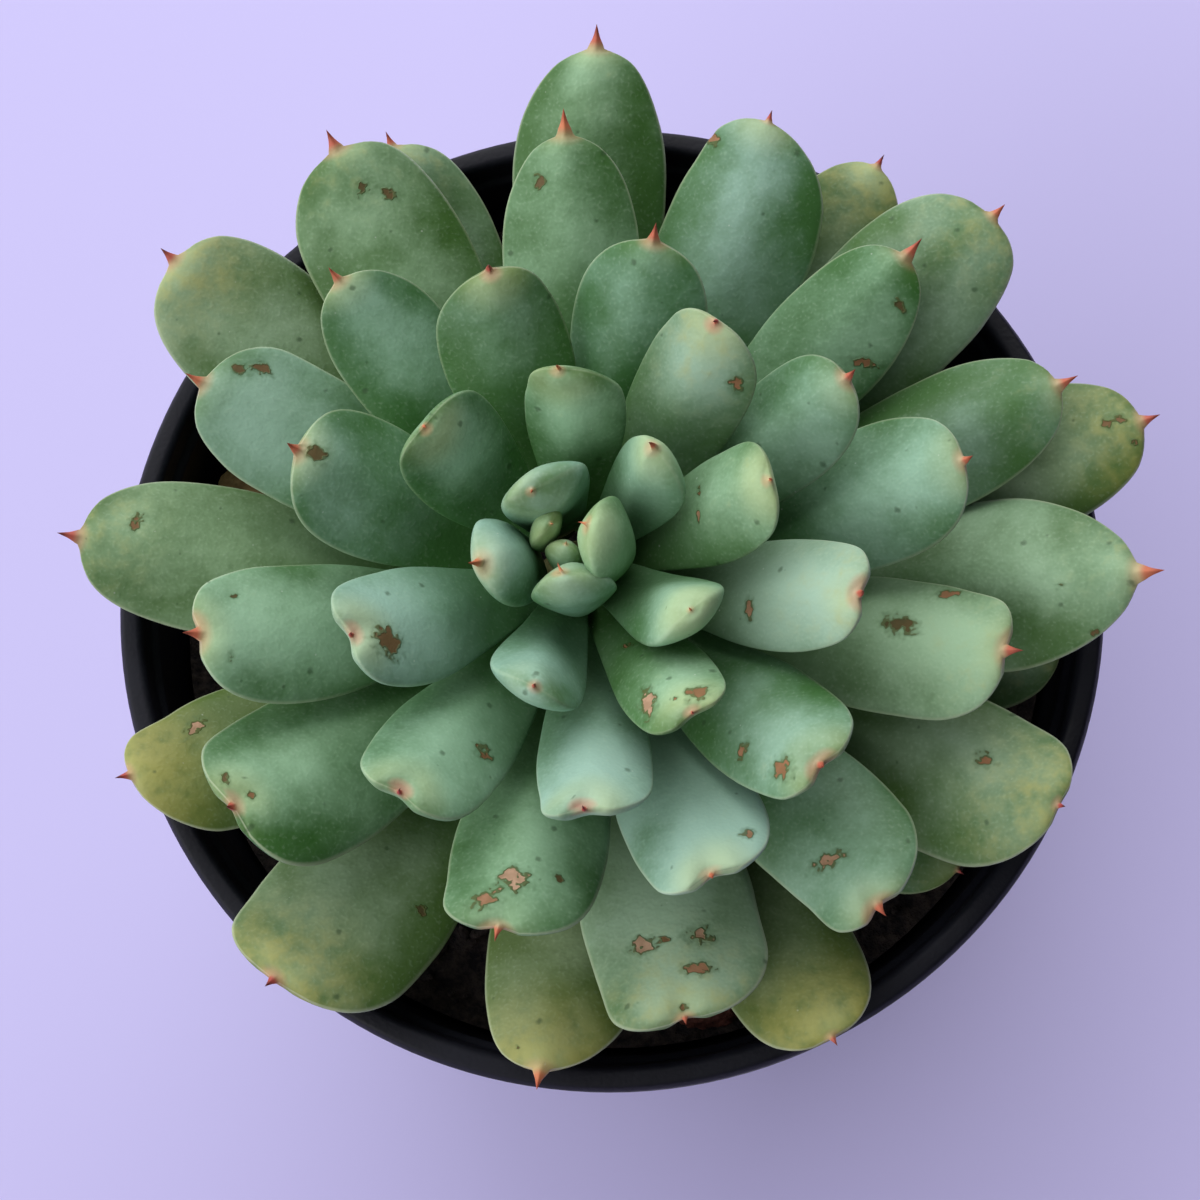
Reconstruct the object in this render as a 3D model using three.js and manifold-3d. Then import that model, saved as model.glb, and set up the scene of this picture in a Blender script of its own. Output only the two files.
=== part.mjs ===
// A potted echeveria: a rosette of fleshy, red-pointed leaves on a short stem, in a black nursery pot.
// Millimetres, +Z up. The origin is the centre of the pot's foot, on the ground.
import * as THREE from "three";
import { mergeVertices } from "three/addons/utils/BufferGeometryUtils.js";
import Module from "manifold-3d";

const wasm = await Module();
wasm.setup();

// The pot: a common round nursery pot, 10.5 cm across its rim.
const RIM_RADIUS = 52.5;
const RIM_BAND = 9;
const RIM_STEP = 2.4;
const RIM_LAND = 2.6;
const POT_HEIGHT = 90;
const FOOT_RADIUS = 38.5;
const WALL = 1.1;
const POT_SEGMENTS = 48;

// Its underside: a flat centre, a raised channel with drain holes, and a foot ring.
const CENTRE_RADIUS = 12;
const CHANNEL_RADIUS = 29;
const CHANNEL_RISE = 2.4;
const DRAIN_HOLES = 8;
const DRAIN_RADIUS = 3.2;

// Potting mix fills the pot to a level below the rim. Pieces that touch keep a small gap.
const SOIL_LEVEL = POT_HEIGHT - 14;
const SOIL_RELIEF = 1;
const GAP = 0.35;

// The plant stands a little off the pot's centre.
const PLANT_X = -2.4;
const PLANT_Y = -0.5;

// The stem. Heights are from the pot's rim: the first and last leaves grow at these.
const LOWEST_LEAF = -9.5;
const HIGHEST_LEAF = 17;
const STEM_FOOT_RADIUS = 5.5;
const STEM_RADIUS = 7.2;
const STEM_TIP_RADIUS = 1.2;
const STEM_DEPTH = 16;

// One leaf, in shares of its own length and width. Pairs are the oldest leaf's and the youngest's.
const WIDEST_AT = [0.74, 0.68];
const BASE_WIDTH = [0.22, 0.54];
const THICKNESS = [0.28, 0.36];
const THICKEST_AT = 0.6;
const BASE_THICKNESS = 0.4;
const TOP_SHARE = [0.18, 0.36];
const CUP_DEPTH = 0.1;
const POINT_LENGTH = 0.19;
const POINT_WIDTH = 0.09;
const LEAF_SIDES = 10;
const STATIONS = [0, 0.12, 0.3, 0.46, 0.6, 0.73, 0.84, 0.92, 0.97, 1];

// Leaves from the oldest, at the bottom, to the youngest, as they follow each other up the stem.
// Each row is [azimuth, reach, rise, width, bend, hook, roll]. Reach is how far the sharp point is
// from the stem's axis, and rise is how far it is above the rim. Bend is how much more steeply the tip
// stands than the base. Hook is how far the point lies to one side of the blade's end. Roll turns the
// blade about its own length. Angles are in degrees.
const LEAVES = [
  [322.5, 49.5, -1, 13.5, 40, 0, 0],
  [357, 51.5, -0.5, 15.5, 40, 0, 0],
  [55, 57, 5.5, 14, 34, 0, 0],
  [113, 54.5, 6.5, 14, 40, 0, 0],
  [15, 62, 8.5, 15.5, 32, 0, 0],
  [267, 52, 8.5, 15.5, 46, -1.3, 0],
  [206.5, 51.5, 9, 14.5, 40, -2.3, 0],
  [298, 54, 8.5, 14.5, 60, 0, 0],
  [141.5, 56.5, 11.5, 17, 56, 0, 0],
  [235.5, 52, 10, 19, 75, -1.7, 0],
  [89, 60, 11, 16.5, 46, -0.9, 0],
  [358.5, 58.5, 13.3, 18, 40, 0, 0],
  [175, 54.5, 9.5, 16, 46, 0, 0],
  [41.5, 58.5, 12, 17, 46, -1, 0],
  [331.5, 54, 11, 17, 70, 1.2, 0],
  [120, 54.5, 13, 17, 46, -0.7, 0],
  [20.5, 54.5, 12.5, 14, 40, 0, 0],
  [65.5, 53, 12.5, 16.5, 46, 1.6, 0],
  [284.5, 47, 13, 17.5, 76, -1.1, 0],
  [152.5, 44.5, 16, 14.5, 54, 0.9, 0],
  [43, 48.5, 15.5, 13, 46, 0, 0],
  [217.5, 42, 17, 17.5, 100, -0.8, 0],
  [313, 46.5, 15, 14.5, 70, -2.4, 0],
  [91.5, 48, 16, 14.5, 54, 0, 0],
  [345.5, 45, 16.2, 14, 54, 1.2, 0],
  [193.5, 39, 20, 14.5, 54, -0.9, 0],
  [261.5, 39, 21, 15, 54, -1.3, 0],
  [12, 40, 21, 14.5, 54, 0, 0],
  [129.5, 38, 21, 12.5, 72, 0.5, 0],
  [293.5, 35.5, 24, 13.5, 80, -0.8, 0],
  [75, 33, 24, 13.5, 60, 0, 0],
  [161, 29, 25, 14, 60, 0, 0],
  [30, 32, 25, 11.5, 60, 0, 0],
  [317, 33, 26.5, 12.5, 76, -0.5, 0],
  [108, 28, 26, 13, 60, -0.9, 0],
  [238, 29, 26, 12.5, 95, -0.2, 0],
  [347, 28.5, 27, 11.5, 60, 0, 0],
  [276, 26.5, 28, 11, 86, -1.2, 0],
  [53.5, 24.5, 27.5, 12, 100, 0.7, 0],
  [206.5, 22.5, 28, 12, 60, 0, 0],
  [141, 16.5, 28.5, 11.5, 96, 0.9, 0],
  [303, 21.5, 29, 9.5, 50, 0, 0],
  [12, 19.5, 29, 10.5, 66, 0, 0],
  [88, 15.5, 29, 9.5, 66, 1.5, 0],
  [257, 15.5, 28.5, 9.5, 84, 0.6, -15],
  [38, 11, 28.5, 8.5, 60, 1.4, 0],
  [197, 9.7, 28, 9, 30, 0.5, 0],
  [325, 14, 28, 9, 88, 0, -15],
  [116, 4.3, 28, 9, 60, 2.2, 0],
  [271, 4, 27, 7.2, 120, -2, 0],
  [340, 1.4, 27, 7.7, 135, 0.5, 0],
  [50, 2, 25, 3, 50, 0, 0],
  [260, 1.2, 24.5, 3, 40, 0, 0],
];

const colours = {
  leaf: new THREE.MeshStandardMaterial({ color: 0x7fa082, roughness: 0.55, metalness: 0 }),
  dryLeaf: new THREE.MeshStandardMaterial({ color: 0x8a6f4d, roughness: 0.85, metalness: 0 }),
  pot: new THREE.MeshStandardMaterial({ color: 0x1b1c22, roughness: 0.5, metalness: 0 }),
  soil: new THREE.MeshStandardMaterial({ color: 0x2a211c, roughness: 0.95, metalness: 0 }),
  stem: new THREE.MeshStandardMaterial({ color: 0x8b9270, roughness: 0.7, metalness: 0 }),
  perlite: new THREE.MeshStandardMaterial({ color: 0xd8d6d2, roughness: 0.9, metalness: 0 }),
  bark: new THREE.MeshStandardMaterial({ color: 0x5a3a2e, roughness: 0.9, metalness: 0 }),
};

const { clamp, lerp, degToRad } = THREE.MathUtils;
const smooth = (x) => THREE.MathUtils.smoothstep(x, 0, 1);

// A closed geometry as a manifold solid, and back
function solidOf(geometry) {
  const bare = geometry.clone();
  bare.deleteAttribute("normal");
  bare.deleteAttribute("uv");
  const merged = mergeVertices(bare, 1e-4);
  const vertProperties = new Float32Array(merged.attributes.position.array);
  const triVerts = new Uint32Array(merged.index.array);
  return new wasm.Manifold(new wasm.Mesh({ numProp: 3, vertProperties, triVerts }));
}

function geometryOf(solid) {
  const mesh = solid.getMesh();
  const geometry = new THREE.BufferGeometry();
  geometry.setAttribute("position", new THREE.BufferAttribute(mesh.vertProperties, 3));
  geometry.setIndex(new THREE.BufferAttribute(mesh.triVerts, 1));
  geometry.computeVertexNormals();
  return geometry;
}

// A profile of [radius, height] points turned about +Z
function turned(profile, segments) {
  const points = profile.map(([r, z]) => new THREE.Vector2(r, z));
  return new THREE.LatheGeometry(points, segments).rotateX(Math.PI / 2);
}

// An upright cylinder from one height to another
function upright(radius, low, high, segments) {
  const cylinder = new THREE.CylinderGeometry(radius, radius, high - low, segments);
  return cylinder.rotateX(Math.PI / 2).translate(0, 0, (low + high) / 2);
}

const model = new THREE.Group();
model.name = "potted_echeveria";

function add(parent, name, geometry, material) {
  const mesh = new THREE.Mesh(geometry, material);
  mesh.name = name;
  parent.add(mesh);
  return mesh;
}

// The pot, a moulded shell: a tapered wall with an upright band below its rim
const bandFoot = POT_HEIGHT - RIM_BAND;
const wallTop = RIM_RADIUS - RIM_STEP;
const mouth = RIM_RADIUS - RIM_LAND;
const floorTop = CHANNEL_RISE + WALL;

function potGeometry() {
  const profile = [
    [0, 0],
    [CENTRE_RADIUS, 0],
    [CENTRE_RADIUS + 1.5, CHANNEL_RISE],
    [CHANNEL_RADIUS, CHANNEL_RISE],
    [CHANNEL_RADIUS + 1.5, 0],
    [FOOT_RADIUS - 0.8, 0],
    [FOOT_RADIUS, 0.8],
    [wallTop, bandFoot - 0.6],
    [RIM_RADIUS - 0.4, bandFoot],
    [RIM_RADIUS, bandFoot + 0.5],
    [RIM_RADIUS, POT_HEIGHT - 0.8],
    [RIM_RADIUS - 0.5, POT_HEIGHT],
    [mouth + 0.5, POT_HEIGHT],
    [mouth, POT_HEIGHT - 0.5],
    [mouth - 0.2, POT_HEIGHT - 3],
    [mouth - 1, POT_HEIGHT - 3.6],
    [wallTop - WALL, bandFoot - 2],
    [FOOT_RADIUS - WALL, WALL + 0.5],
    [FOOT_RADIUS - WALL - 0.6, WALL],
    [CHANNEL_RADIUS + 2, WALL],
    [CHANNEL_RADIUS + 0.4, floorTop],
    [CENTRE_RADIUS + 1.1, floorTop],
    [CENTRE_RADIUS - 0.5, WALL],
    [0, WALL],
  ];
  const holeCircle = (CENTRE_RADIUS + CHANNEL_RADIUS) / 2 + 0.7;
  let pot = solidOf(turned(profile, POT_SEGMENTS));
  for (let k = 0; k < DRAIN_HOLES; k++) {
    const angle = (k / DRAIN_HOLES) * 2 * Math.PI;
    const hole = upright(DRAIN_RADIUS, 0, floorTop + 2, 16);
    hole.translate(holeCircle * Math.cos(angle), holeCircle * Math.sin(angle), 0);
    pot = pot.subtract(solidOf(hole));
  }
  return geometryOf(pot);
}

// Potting mix: it follows the inside of the pot, with a lumpy surface and a plain hole for the stem
function soilGeometry() {
  const wallSlope = (wallTop - FOOT_RADIUS) / (bandFoot - 1.4);
  const edge = FOOT_RADIUS - WALL + (SOIL_LEVEL - 2) * wallSlope - GAP - 0.05;
  const profile = [
    [0, WALL + GAP],
    [CENTRE_RADIUS - 0.7, WALL + GAP],
    [CENTRE_RADIUS + 0.9, floorTop + GAP],
    [CHANNEL_RADIUS + 0.6, floorTop + GAP],
    [CHANNEL_RADIUS + 2.2, WALL + GAP],
    [FOOT_RADIUS - WALL - 1.1, WALL + GAP],
    [edge, SOIL_LEVEL - 2],
    [edge - 1.2, SOIL_LEVEL],
    [40, SOIL_LEVEL],
    [32, SOIL_LEVEL],
    [24, SOIL_LEVEL],
    [16, SOIL_LEVEL],
    [0, SOIL_LEVEL],
  ];
  const geometry = turned(profile, 36);
  const position = geometry.attributes.position;
  for (let i = 0; i < position.count; i++) {
    const x = position.getX(i);
    const y = position.getY(i);
    const lumps = Math.sin(x * 0.21 + 1.3) * Math.sin(y * 0.24 + 0.4) + Math.sin(x * 0.11 - y * 0.13);
    if (position.getZ(i) > SOIL_LEVEL - 0.1) position.setZ(i, SOIL_LEVEL + (SOIL_RELIEF / 2) * lumps);
  }
  const hole = upright(STEM_FOOT_RADIUS + GAP, SOIL_LEVEL - STEM_DEPTH - GAP, SOIL_LEVEL + 5, 24);
  return geometryOf(solidOf(geometry).subtract(solidOf(hole.translate(PLANT_X, PLANT_Y, 0))));
}

// From here on, the plant's own frame: its origin is on the stem's axis, level with the pot's rim.
const plant = new THREE.Group();
plant.position.set(PLANT_X, PLANT_Y, POT_HEIGHT);

// How far out the stem's side is at a height above the rim
function stemRadius(height) {
  const share = clamp((height - LOWEST_LEAF) / (HIGHEST_LEAF - LOWEST_LEAF), 0, 1);
  return lerp(STEM_RADIUS, STEM_TIP_RADIUS, share ** 1.3);
}

function stemGeometry() {
  const soilHeight = SOIL_LEVEL - POT_HEIGHT;
  const profile = [
    [0, soilHeight - STEM_DEPTH],
    [STEM_FOOT_RADIUS, soilHeight - STEM_DEPTH],
    [STEM_FOOT_RADIUS, soilHeight + 1.5],
  ];
  for (let k = 0; k <= 5; k++) {
    const height = lerp(LOWEST_LEAF, HIGHEST_LEAF, k / 5);
    profile.push([stemRadius(height), height]);
  }
  profile.push([0, HIGHEST_LEAF + 1]);
  return geometryOf(solidOf(turned(profile, 24)));
}

// Half a leaf's width, as a share of its widest: narrow at the base and round at the tip
function outline(share, age) {
  const widest = lerp(...WIDEST_AT, age);
  if (share < widest) return lerp(lerp(...BASE_WIDTH, age * age), 1, smooth(share / widest));
  const past = (share - widest) / (1 - widest);
  return (1 - past ** 2.2) ** (1 / 2.2);
}

// A leaf's thickness, as a share of its thickest
function fatness(share) {
  if (share < THICKEST_AT) return lerp(BASE_THICKNESS, 1, smooth(share / THICKEST_AT));
  const past = (share - THICKEST_AT) / (1 - THICKEST_AT);
  return (1 - past ** 2.4) ** (1 / 2.4);
}

// A leaf's midline, in the upright plane through the stem's axis: x is out, y is up.
function midlineOf(foot, reach, rise, bend) {
  const start = new THREE.Vector2(stemRadius(foot - 2) + GAP, foot);
  const end = new THREE.Vector2(reach, rise);
  const chord = end.clone().sub(start);
  const lean = chord.angle();
  const handle = (angle, share) =>
    new THREE.Vector2(Math.cos(angle), Math.sin(angle)).multiplyScalar(share * chord.length());
  return new THREE.CubicBezierCurve(
    start,
    start.clone().add(handle(lean - degToRad(bend * 0.3), 0.42)),
    end.clone().sub(handle(lean + degToRad(bend * 0.7), 0.28)),
    end,
  );
}

// Half the width, and the thickness above and below the midline, at a share of the blade's length.
// Past 1 is the sharp point, which ends at 1 / body.
function sectionOf(share, body, width, age) {
  const pointRadius = (width * POINT_WIDTH) / 2;
  if (share > 1) {
    const radius = pointRadius * 0.6;
    return { half: radius, above: radius, below: radius };
  }
  const thick = width * lerp(...THICKNESS, age) * fatness(share);
  const above = thick * lerp(...TOP_SHARE, share);
  return {
    half: Math.max((width / 2) * outline(share, age), pointRadius),
    above: Math.max(above, pointRadius),
    below: Math.max(thick - above, pointRadius),
  };
}

// One leaf: a sphere's grid of points, with one pole in its base and the other at its sharp point.
// It grows along +X.
function leafGeometry([, reach, rise, width, bend, hook, roll], order) {
  const age = order / (LEAVES.length - 1);
  const midline = midlineOf(lerp(LOWEST_LEAF, HIGHEST_LEAF, age), reach, rise, bend);
  const body = 1 - (width * POINT_LENGTH) / midline.getLength();
  const shares = [0, ...STATIONS, (1 + 1 / body) / 2, 1 / body];
  const rings = shares.length - 1;
  const geometry = new THREE.SphereGeometry(1, LEAF_SIDES, rings);
  const position = geometry.attributes.position;
  const uv = geometry.attributes.uv;
  for (let i = 0; i < position.count; i++) {
    const ring = Math.round((1 - uv.getY(i)) * rings);
    const angle = -uv.getX(i) * 2 * Math.PI;
    const share = shares[ring];
    const { half, above, below } = sectionOf(share, body, width, age);
    const pole = ring === 0 || ring === rings ? 0 : 1;
    const across = Math.cos(angle);
    const up = Math.sin(angle);
    const cup = width * CUP_DEPTH * clamp(1 - share, 0, 1) * smooth(share * 4);
    const flat = pole * across * half;
    const lift = pole * (up * (up > 0 ? above : below) + cup * across * across);
    const tilt = degToRad(roll) * smooth(share * 2);
    const t = clamp(share * body, 0, 1);
    const point = midline.getPointAt(t);
    const tangent = midline.getTangentAt(t);
    // The base's cut face stands upright against the stem, and the rest is square to the midline.
    const square = smooth(share / 0.25);
    const normal = new THREE.Vector2(-tangent.y * square, lerp(1, tangent.x, square)).normalize();
    const aside = hook * smooth((t / body - 0.85) / (1 / body - 0.85));
    const raised = flat * Math.sin(tilt) + lift * Math.cos(tilt);
    position.setXYZ(
      i,
      point.x + normal.x * raised,
      flat * Math.cos(tilt) - lift * Math.sin(tilt) + aside,
      point.y + normal.y * raised,
    );
  }
  return geometryOf(solidOf(geometry));
}

// A lumpy pebble: an icosahedron's corners pushed in and out
function pebbleGeometry(radii, phase) {
  const ball = new THREE.IcosahedronGeometry(1, 1);
  ball.deleteAttribute("normal");
  ball.deleteAttribute("uv");
  const geometry = mergeVertices(ball);
  const position = geometry.attributes.position;
  for (let i = 0; i < position.count; i++) {
    const push = 1 + 0.16 * Math.sin(phase + i * 2.4);
    position.setX(i, position.getX(i) * radii[0] * push);
    position.setY(i, position.getY(i) * radii[1] * push);
    position.setZ(i, position.getZ(i) * radii[2] * push);
  }
  return geometryOf(solidOf(geometry));
}

// A shrivelled leaf: a thin lens, wider at one end, with its edges and ends curled up
function dryLeafGeometry(length, width) {
  const geometry = new THREE.SphereGeometry(1, 12, 10).rotateZ(Math.PI / 2);
  const position = geometry.attributes.position;
  for (let i = 0; i < position.count; i++) {
    const x = position.getX(i);
    const y = position.getY(i);
    const curl = 1.1 * y * y + 0.9 * x * x;
    position.setXYZ(i, (x * length) / 2, y * (width / 2) * (1 - x / 3), position.getZ(i) * 0.6 + curl);
  }
  return geometryOf(solidOf(geometry));
}

add(model, "pot", potGeometry(), colours.pot);
add(model, "soil", soilGeometry(), colours.soil);

model.add(plant);
add(plant, "stem", stemGeometry(), colours.stem);
LEAVES.forEach((row, order) => {
  const name = "leaf_" + String(order + 1).padStart(2, "0");
  const leaf = add(plant, name, leafGeometry(row, order), colours.leaf);
  leaf.rotation.z = degToRad(row[0]);
});

// Bits that lie on the potting mix
const surface = SOIL_LEVEL + SOIL_RELIEF + GAP;
const perliteChip = add(model, "perlite_chip", pebbleGeometry([1.8, 1.5, 1.3], 1), colours.perlite);
perliteChip.position.set(34, -29.5, surface + 1.4);
const barkChip = add(model, "bark_chip", pebbleGeometry([3.4, 1.8, 1.2], 4), colours.bark);
barkChip.position.set(10.5, -44, surface + 1.3);
const dryLeaf = add(model, "dry_leaf", dryLeafGeometry(24, 8.4), colours.dryLeaf);
dryLeaf.position.set(-33.5, 12, surface + 0.6);
dryLeaf.rotation.z = -0.3;

export default model;
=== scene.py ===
# %% [markdown]
# # A potted echeveria
# A rosette of fleshy leaves, pale with a waxy bloom and tipped with small red points, grows on a short
# stem in a round black nursery pot. The camera looks down on it from almost straight above.

# %% Load the frame
import math
import random
from collections import namedtuple

import bmesh
import bpy
import numpy as np
from mathutils import Matrix, Vector, noise
from mathutils.bvhtree import BVHTree


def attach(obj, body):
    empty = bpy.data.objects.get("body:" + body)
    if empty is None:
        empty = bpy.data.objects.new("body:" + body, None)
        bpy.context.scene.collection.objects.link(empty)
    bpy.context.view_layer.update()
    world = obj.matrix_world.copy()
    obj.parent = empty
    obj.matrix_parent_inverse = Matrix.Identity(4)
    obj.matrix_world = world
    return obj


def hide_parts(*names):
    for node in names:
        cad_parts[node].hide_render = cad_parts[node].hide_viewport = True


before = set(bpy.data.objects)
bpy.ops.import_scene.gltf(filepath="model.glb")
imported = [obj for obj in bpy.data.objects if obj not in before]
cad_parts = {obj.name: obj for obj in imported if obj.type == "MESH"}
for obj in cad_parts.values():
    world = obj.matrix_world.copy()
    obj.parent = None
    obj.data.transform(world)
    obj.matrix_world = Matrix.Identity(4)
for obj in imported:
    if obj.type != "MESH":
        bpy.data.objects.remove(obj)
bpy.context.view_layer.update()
MM = 0.001
print("nodes:", len(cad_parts))

# %% [markdown]
# Sizes that the whole lesson shares, in millimetres, as they were when the pot and the plant were laid
# out. The pot stands on its foot at height 0. The plant's own frame has its origin on the stem's axis,
# level with the rim.

# %% Shared sizes
POT_HEIGHT = 90
SOIL_LEVEL = POT_HEIGHT - 14
PLANT = Vector((-2.4, -0.5, POT_HEIGHT))
print("the mix lies", POT_HEIGHT - SOIL_LEVEL, "mm below the rim")

# %% [markdown]
# The camera comes first, because marks on the leaves are placed by their pixel in the photograph. The
# rim's ellipse and the leaves' points gave its place: a lens of 68 mm on a 36 mm sensor, a quarter of a
# metre above the rim, 13 degrees off the vertical.

# %% Camera
PHOTO_SIDE = 1200
SENSOR = 36
LENS = 67.9
CAMERA_PLACE = Vector((11.49, -54.11, 324.14))
CAMERA_AZIMUTH = math.radians(13)
CAMERA_ELEVATION = math.radians(77)

backwards = Vector((
    math.sin(CAMERA_AZIMUTH) * math.cos(CAMERA_ELEVATION),
    -math.cos(CAMERA_AZIMUTH) * math.cos(CAMERA_ELEVATION),
    math.sin(CAMERA_ELEVATION),
))
rightwards = Vector((0, 1, 0)).cross(backwards).normalized()
upwards = backwards.cross(rightwards)
camera_turn = Matrix((rightwards, upwards, backwards)).transposed()
camera = bpy.data.objects.new("camera", bpy.data.cameras.new("camera"))
camera.matrix_world = Matrix.Translation(CAMERA_PLACE * MM) @ camera_turn.to_4x4()
camera.data.lens = LENS
camera.data.sensor_width = SENSOR
camera.data.clip_start = 0.01
bpy.context.scene.collection.objects.link(camera)
bpy.context.scene.camera = camera


def ray_through(x, y):
    """The direction in which the camera sees a pixel of the photograph."""
    per_pixel = SENSOR / LENS / PHOTO_SIDE
    aim = Vector(((x - PHOTO_SIDE / 2) * per_pixel, (PHOTO_SIDE / 2 - y) * per_pixel, -1))
    return (camera_turn @ aim).normalized()


print("the camera looks along", [round(v, 3) for v in ray_through(PHOTO_SIDE / 2, PHOTO_SIDE / 2)])

# %% [markdown]
# Colours are sRGB hex values, first judged and then matched to the photograph. Shaders work in
# linear light, so one function turns the first into the second. Another one adds a shader node with its
# settings and links.

# %% Colour and node helpers


def linear(hex_colour):
    """An sRGB hex colour as linear RGBA."""
    shares = [int(hex_colour[k:k + 2], 16) / 255 for k in (1, 3, 5)]
    return (*[c / 12.92 if c <= 0.04045 else ((c + 0.055) / 1.055) ** 2.4 for c in shares], 1.0)


def add_node(tree, kind, inputs=None, out=0, **settings):
    """Adds a node, gives its inputs values or other nodes' outputs, and returns its output out."""
    node = tree.nodes.new("ShaderNode" + kind)
    for name, value in settings.items():
        setattr(node, name, value)
    for socket, value in (inputs or {}).items():
        if isinstance(value, bpy.types.NodeSocket):
            tree.links.new(value, node.inputs[socket])
        else:
            node.inputs[socket].default_value = value
    return node.outputs[out] if node.outputs else node


def new_material(name):
    """An empty node material and its tree."""
    material = bpy.data.materials.new(name)
    material.use_nodes = True
    material.node_tree.nodes.clear()
    return material, material.node_tree


# %% [markdown]
# ## The leaf
# An echeveria's leaf is a thick tongue of water-filled tissue: narrow where it grows from the stem,
# widest past its middle, flat to slightly hollow above and round below, with a blunt end that draws out
# into one small sharp point. It could be sculpted by hand fifty times. A ball of points is bent along a
# curve instead, because then the sizes of each leaf stay those of the plant.

# %% Two helpers and the stem's taper
LOWEST_LEAF = -9.5
HIGHEST_LEAF = 17
STEM_RADIUS = 7.2
STEM_TIP_RADIUS = 1.2
STEM_TAPER = 1.3


def mix(pair, share):
    """A value between the two of a pair."""
    return pair[0] + (pair[1] - pair[0]) * share


def smooth(x):
    """Rises from 0 to 1 without corners."""
    x = np.clip(x, 0, 1)
    return x * x * (3 - 2 * x)


def stem_radius(height):
    """How far out the stem's side is at a height above the rim."""
    share = min(max((height - LOWEST_LEAF) / (HIGHEST_LEAF - LOWEST_LEAF), 0), 1)
    return mix((STEM_RADIUS, STEM_TIP_RADIUS), share ** STEM_TAPER)


print("stem radius at the rim's height:", round(stem_radius(0), 2), "mm")

# %% [markdown]
# Each leaf's place and size, oldest first, as they follow each other up the stem. A row has its azimuth,
# its reach and its rise above the rim, its width, how much more steeply its tip stands than its base, how
# far its point is hooked aside, and how far it is rolled about its own length.

# %% The leaves' places
LEAVES = [
    (322.5, 49.5, -1, 13.5, 40, 0, 0),
    (353, 52.5, 0, 16, 40, 0, 0),
    (55, 57, 5.5, 14, 34, 0, 0),
    (113, 54.5, 6.5, 14, 40, 0, 0),
    (15, 62, 8.5, 15.5, 32, 0, 0),
    (267, 52, 8.5, 15.5, 46, -1.3, 0),
    (206.5, 51.5, 9, 14.5, 40, -2.3, 0),
    (298, 54, 8.5, 14.5, 60, 0, 0),
    (141.5, 56.5, 11.5, 17, 56, 0, 0),
    (235.5, 52, 10, 19, 75, -1.7, 0),
    (89, 60, 11, 16.5, 46, -0.9, 0),
    (358.5, 58.5, 13.3, 18, 40, 0, 0),
    (175, 54.5, 9.5, 16, 46, 0, 0),
    (41.5, 58.5, 12, 17, 46, -1, 0),
    (331.5, 54, 11, 17, 70, 1.2, 0),
    (120, 54.5, 13, 17, 46, -0.7, 0),
    (20.5, 54.5, 12.5, 14, 40, 0, 0),
    (65.5, 53, 12.5, 16.5, 46, 1.6, 0),
    (284.5, 47, 13, 17.5, 76, -1.1, 0),
    (152.5, 44.5, 16, 14.5, 54, 0.9, 0),
    (43, 48.5, 15.5, 13, 46, 0, 0),
    (217.5, 42, 17, 17.5, 100, -0.8, 0),
    (313, 46.5, 15, 14.5, 70, -2.4, 0),
    (91.5, 48, 16, 14.5, 54, 0, 0),
    (345.5, 45, 16.2, 14, 54, 1.2, 0),
    (193.5, 39, 20, 14.5, 54, -0.9, 0),
    (261.5, 39, 21, 15, 54, -1.3, 0),
    (12, 40, 21, 14.5, 54, 0, 0),
    (129.5, 38, 21, 12.5, 72, 0.5, 0),
    (293.5, 35.5, 24, 13.5, 80, -0.8, 0),
    (75, 33, 24, 13.5, 60, 0, 0),
    (161, 29, 25, 14, 60, 0, 0),
    (30, 32, 25, 11.5, 60, 0, 0),
    (317, 33, 26.5, 12.5, 76, -0.5, 0),
    (108, 28, 26, 13, 60, -0.9, 0),
    (238, 29, 26, 12.5, 95, -0.2, 0),
    (347, 28.5, 27, 11.5, 60, 0, 0),
    (276, 26.5, 28, 11, 86, -1.2, 0),
    (53.5, 24.5, 27.5, 12, 100, 0.7, 0),
    (206.5, 22.5, 28, 12, 60, 0, 0),
    (141, 16.5, 28.5, 11.5, 96, 0.9, 0),
    (303, 21.5, 29, 9.5, 50, 0, 0),
    (12, 19.5, 29, 10.5, 66, 0, 0),
    (88, 15.5, 29, 9.5, 66, 1.5, 0),
    (257, 15.5, 28.5, 9.5, 84, 0.6, -15),
    (38, 11, 28.5, 8.5, 60, 1.4, 0),
    (197, 9.9, 27.5, 9, 0, 0.5, 0),
    (325, 14, 28, 9, 88, 0, -15),
    (116, 4.3, 28, 9, 60, 1.6, 0),
    (276, 3.2, 27, 8.2, 150, -1.2, 0),
    (350, 1.0, 28, 8.6, 165, 0.5, 0),
    (150, 1.6, 25.5, 4.5, 60, 0, 0),
    (250, 0.6, 24.5, 4, 40, 0, 0),
]

# %% [markdown]
# What makes each leaf look like itself, in the same order. A row has how blunt its end is (2 is round,
# 3 is squared), how ridged its upper face is, how olive it has turned with age, how much waxy bloom it
# has kept, how long its point is, how far that point has dried from salmon to dark red, how many degrees
# it curls up, and how deep a notch it sits in.

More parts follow.
